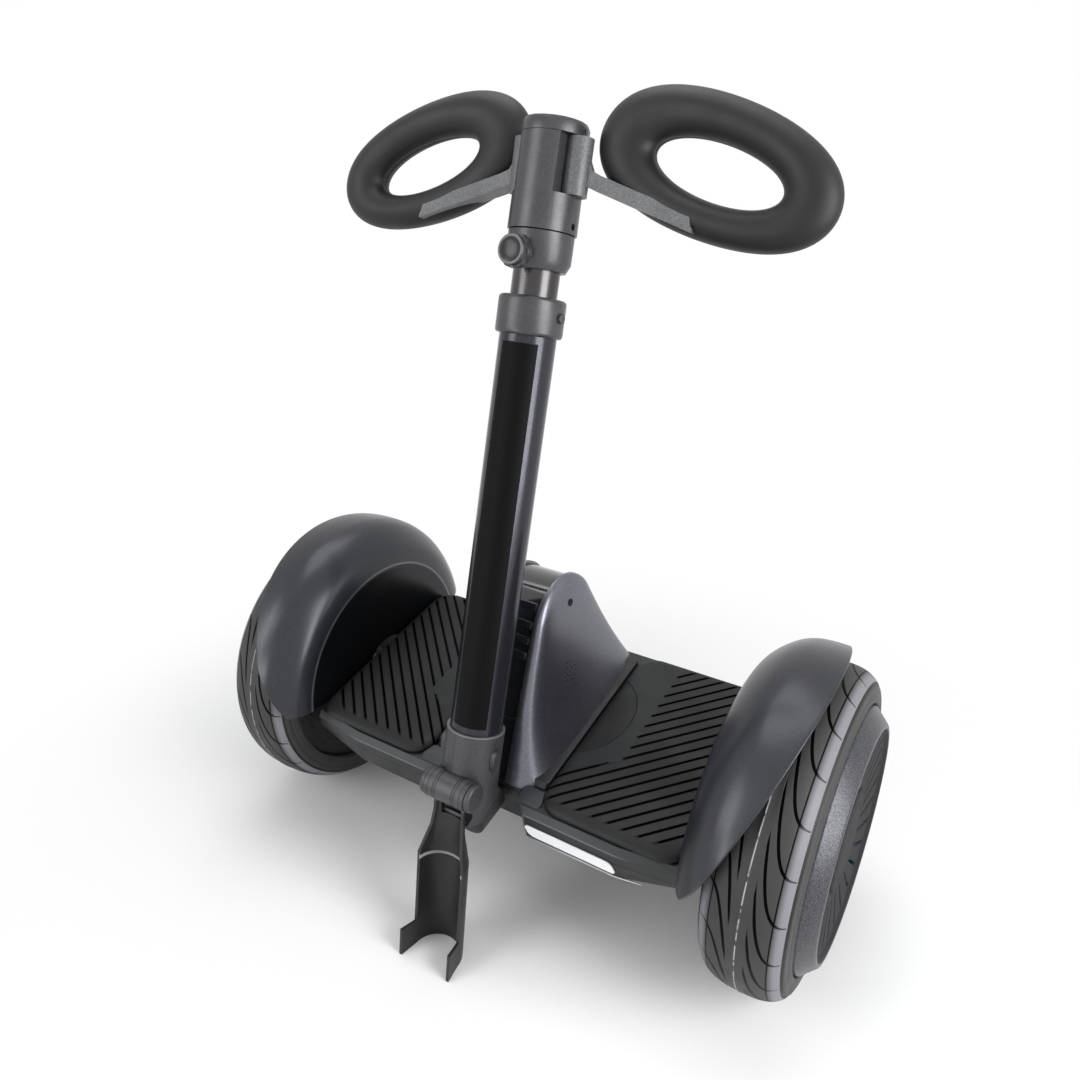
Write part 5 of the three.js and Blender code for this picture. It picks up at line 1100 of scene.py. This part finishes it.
def knob():
    """A thumb knob: a round dished face in front of a grip with six lobes."""
    mesh = bmesh.new()
    grip = []
    for step in range(72):
        angle = step / 72 * TAU
        reach = 11.1 + 0.9 * math.cos(6 * angle)
        grip.append(mesh.verts.new((reach * math.cos(angle), -27.4, KNOB_Z + reach * math.sin(angle))))
    pulled(mesh, mesh.faces.new(grip), (0, -5.4, 0))
    soften(mesh, 60, 0.9, 3)
    peg(mesh, 5.5, -28, -14, 0, KNOB_Z, "Y")
    face = bmesh.new()
    profile = (
        (0, -35.3), (3, -35.4), (5.6, -35.7), (7.2, -36.4), (8, -37.2), (8.6, -37.5), (9.5, -37.4),
        (10.2, -36.8), (10.4, -36), (10.4, -32.4), (0, -32.4),
    )
    merge(lathe(face, profile, 96, "Y"))
    bmesh.ops.translate(face, verts=face.verts[:], vec=(0, 0, KNOB_Z))
    data = bpy.data.meshes.new("knob_face")
    face.to_mesh(data)
    face.free()
    mesh.from_mesh(data)
    bpy.data.meshes.remove(data)
    finish(mesh, "thumb_knob", "knob", "knob", STEM, ("clamp_knob",), 40)


def stem():
    latch()
    knob()
    dressed("steering_shaft", "steel", 0.0005)
    dressed("stem_socket", "cast", 0.0007, 35, 3)
    dressed("kickstand_pin", "cast", 0.0005)
    outer = ((19.2, -30), (21, -30), (21, 322), (19.2, 322), (19.2, -30))
    tube_piece("stem_tube", "outer_tube", outer, "tube", "stem")
    collar = (
        (21.3, 305.5), (22.4, 305.5), (23.6, 305.9), (24.3, 306.8), (24.6, 308.2), (24.6, 329.6), (24.3, 331),
        (23.5, 332), (22.4, 332.5), (17.3, 332.5), (17.3, 322.3), (21.3, 322.3), (21.3, 305.5),
    )
    tube_piece("collar_ring", "tube_collar", collar, "head", "stem")
    dressed("collar_screw", "head", 0.0003)
    inner = ((15.4, 60), (17, 60), (17, 396), (15.4, 396), (15.4, 60))
    tube_piece("mast_tube", "inner_tube", inner, "polished", "mast")
    dressed("height_clamp", "head", 0.0006, 35, 3)
    dressed("head_housing", "head", 0.0008, 35, 3)
    dressed("head_cap", "head", 0.0009, 35, 3)
    dressed("kickstand", "barrel", 0.0005, 40)
    for side in SIDES:
        release_button(side)
        dressed("ring_arm_" + side, "arm", 0.0006)
        dressed("arm_pin_" + side, "steel", 0.0003)


# Hand rings

RING_CENTRE = Vector((117, 15, 423.5))
RING_LONG, RING_HIGH, RING_DEEP = 70.8, 30.8, 15
HOLE_LONG, HOLE_HIGH, HOLE_SHIFT = 48, 17.6, 0.8
RING_TURN = turn(math.radians(17.4), "Y") @ turn(math.radians(-2.1), "X")
RING_HALF, RING_THICK_SIDE, RING_LEAN, RING_ENDS = 15.3, 2.5, math.radians(158), 2.1
SEAM_HEIGHT, SEAM_HALF = 0.6, 0.07


def ring_point(around, section):
    """A point on the ring's skin. Around goes along the loop, section round the tube.

    The tube is thicker on one side and at the ends of the loop, and has a low seam inside.
    """
    across, up = math.cos(around), math.sin(around)
    half = RING_HALF + RING_THICK_SIDE * math.cos(around - RING_LEAN) + RING_ENDS * math.cos(2 * around)
    normal = Vector((across / RING_LONG, 0, up / RING_HIGH)).normalized()
    edge = Vector((RING_LONG * across, 0, RING_HIGH * up)) + normal * half
    hole = Vector((HOLE_SHIFT + HOLE_LONG * across, 0, HOLE_HIGH * up - HOLE_SHIFT))
    seam = SEAM_HEIGHT * math.exp(-(((section - math.pi) / SEAM_HALF) ** 2)) / (edge - hole).length
    spot = hole.lerp(edge, (1 + math.cos(section)) / 2 + seam)
    spot.y -= RING_DEEP * math.sin(section)
    return RING_TURN @ spot + RING_CENTRE


def hand_ring(side):
    mesh = bmesh.new()
    sheet(mesh, 144, 96, lambda u, v: ring_point(u * TAU, v * TAU))
    merge(mesh, 0.01)
    piece = finish(
        mesh, "soft_ring_" + side, "ring", "arm_" + side, STEM, ("hand_ring_" + side,),
        60, side == "left",
    )


# Stage, light and camera

WHITE_RAYS = ("Is Camera Ray", "Is Glossy Ray", "Is Transmission Ray")
WORLD_LEVEL = 0.38
WHITE_FROM, WHITE_BEYOND = 0.27, 0.64
LENS = 28.915
CAMERA_TURN, CAMERA_TILT, CAMERA_ROLL = math.radians(32.274), math.radians(90 - 24.675), math.radians(0.168)
CAMERA_SPOT = (0.34508, AXLE_Y - 0.55027, 0.61249)


def stage():
    """A pale floor that keeps the shadow and turns white where it is far from the object."""
    paint = Paint("pale_floor", (0.86, 0.86, 0.86), 0.8, specular=0.1)
    rays = [paint.node("ShaderNodeLightPath", output=kind) for kind in WHITE_RAYS]
    seen = paint.math("ADD", rays[0] + rays[1], rays[2], clamp=True)
    reach = paint.node("ShaderNodeVectorMath", {"operation": "LENGTH"}, {0: paint.place()}, "Value")
    white = paint.node("ShaderNodeEmission", None, {"Color": (1, 1, 1, 1), "Strength": 1.0})
    plain = Signal(paint, paint.shader.outputs["BSDF"])
    share = paint.remap(reach, WHITE_FROM, WHITE_BEYOND) * seen
    mixed = paint.node("ShaderNodeMixShader", None, {0: share, 1: plain, 2: white})
    output = next(node for node in paint.tree.nodes if node.type == "OUTPUT_MATERIAL")
    paint.tree.links.new(mixed.socket, output.inputs["Surface"])
    mesh = bmesh.new()
    bmesh.ops.create_grid(mesh, x_segments=1, y_segments=1, size=6)
    data = bpy.data.meshes.new("floor")
    mesh.to_mesh(data)
    mesh.free()
    floor = bpy.data.objects.new("floor", data)
    bpy.context.scene.collection.objects.link(floor)
    data.materials.append(paint.material)


def area_lamp(name, power, size, spot, aim_z):
    """A rectangular light that points at a height over the middle of the floor."""
    lamp = bpy.data.lights.new(name, "AREA")
    lamp.energy = power
    lamp.shape = "RECTANGLE"
    lamp.size, lamp.size_y = size
    made = bpy.data.objects.new(name, lamp)
    bpy.context.scene.collection.objects.link(made)
    made.visible_camera = False
    made.location = spot
    made.rotation_mode = "QUATERNION"
    made.rotation_quaternion = (Vector((0, 0, aim_z)) - Vector(spot)).to_track_quat("-Z", "Y")


def lights():
    area_lamp("front_left", 15, (1.0, 1.2), (-1.1, -1.6, 1.2), 0.3)
    area_lamp("overhead", 17, (1.5, 1.4), (-0.35, 0.35, 2.3), 0.2)
    area_lamp("right_strip", 24, (0.75, 1.25), (1.3, -0.2, 0.72), 0.35)
    area_lamp("front_low", 5, (0.7, 0.4), (-0.5, -1.6, 0.3), 0.2)
    world = bpy.data.worlds.new("studio")
    bpy.context.scene.world = world
    world.use_nodes = True
    nodes, links = world.node_tree.nodes, world.node_tree.links
    background = nodes["Background"]
    background.inputs["Color"].default_value = (1, 1, 1, 1)
    path = nodes.new("ShaderNodeLightPath")
    total = path.outputs[WHITE_RAYS[0]]
    for kind in WHITE_RAYS[1:]:
        both = nodes.new("ShaderNodeMath")
        both.operation, both.use_clamp = "ADD", True
        links.new(total, both.inputs[0])
        links.new(path.outputs[kind], both.inputs[1])
        total = both.outputs[0]
    level = nodes.new("ShaderNodeMapRange")
    level.inputs["To Min"].default_value = WORLD_LEVEL
    level.inputs["To Max"].default_value = 1.0
    links.new(total, level.inputs["Value"])
    links.new(level.outputs["Result"], background.inputs["Strength"])


def camera():
    data = bpy.data.cameras.new("camera")
    data.sensor_width = 36
    data.lens = LENS
    data.clip_start, data.clip_end = 0.05, 50
    made = bpy.data.objects.new("camera", data)
    bpy.context.scene.collection.objects.link(made)
    aim = turn(CAMERA_TURN, "Z") @ turn(CAMERA_TILT, "X") @ turn(CAMERA_ROLL, "Z")
    made.matrix_world = shift(*CAMERA_SPOT) @ aim
    bpy.context.scene.camera = made


def main():
    bpy.context.scene.view_settings.view_transform = "Standard"
    camera()
    lights()
    stage()
    for side in SIDES:
        wheel(side)
        fender(side)
        hand_ring(side)
    deck()
    hump()
    stem()
    bpy.context.view_layer.update()


main()
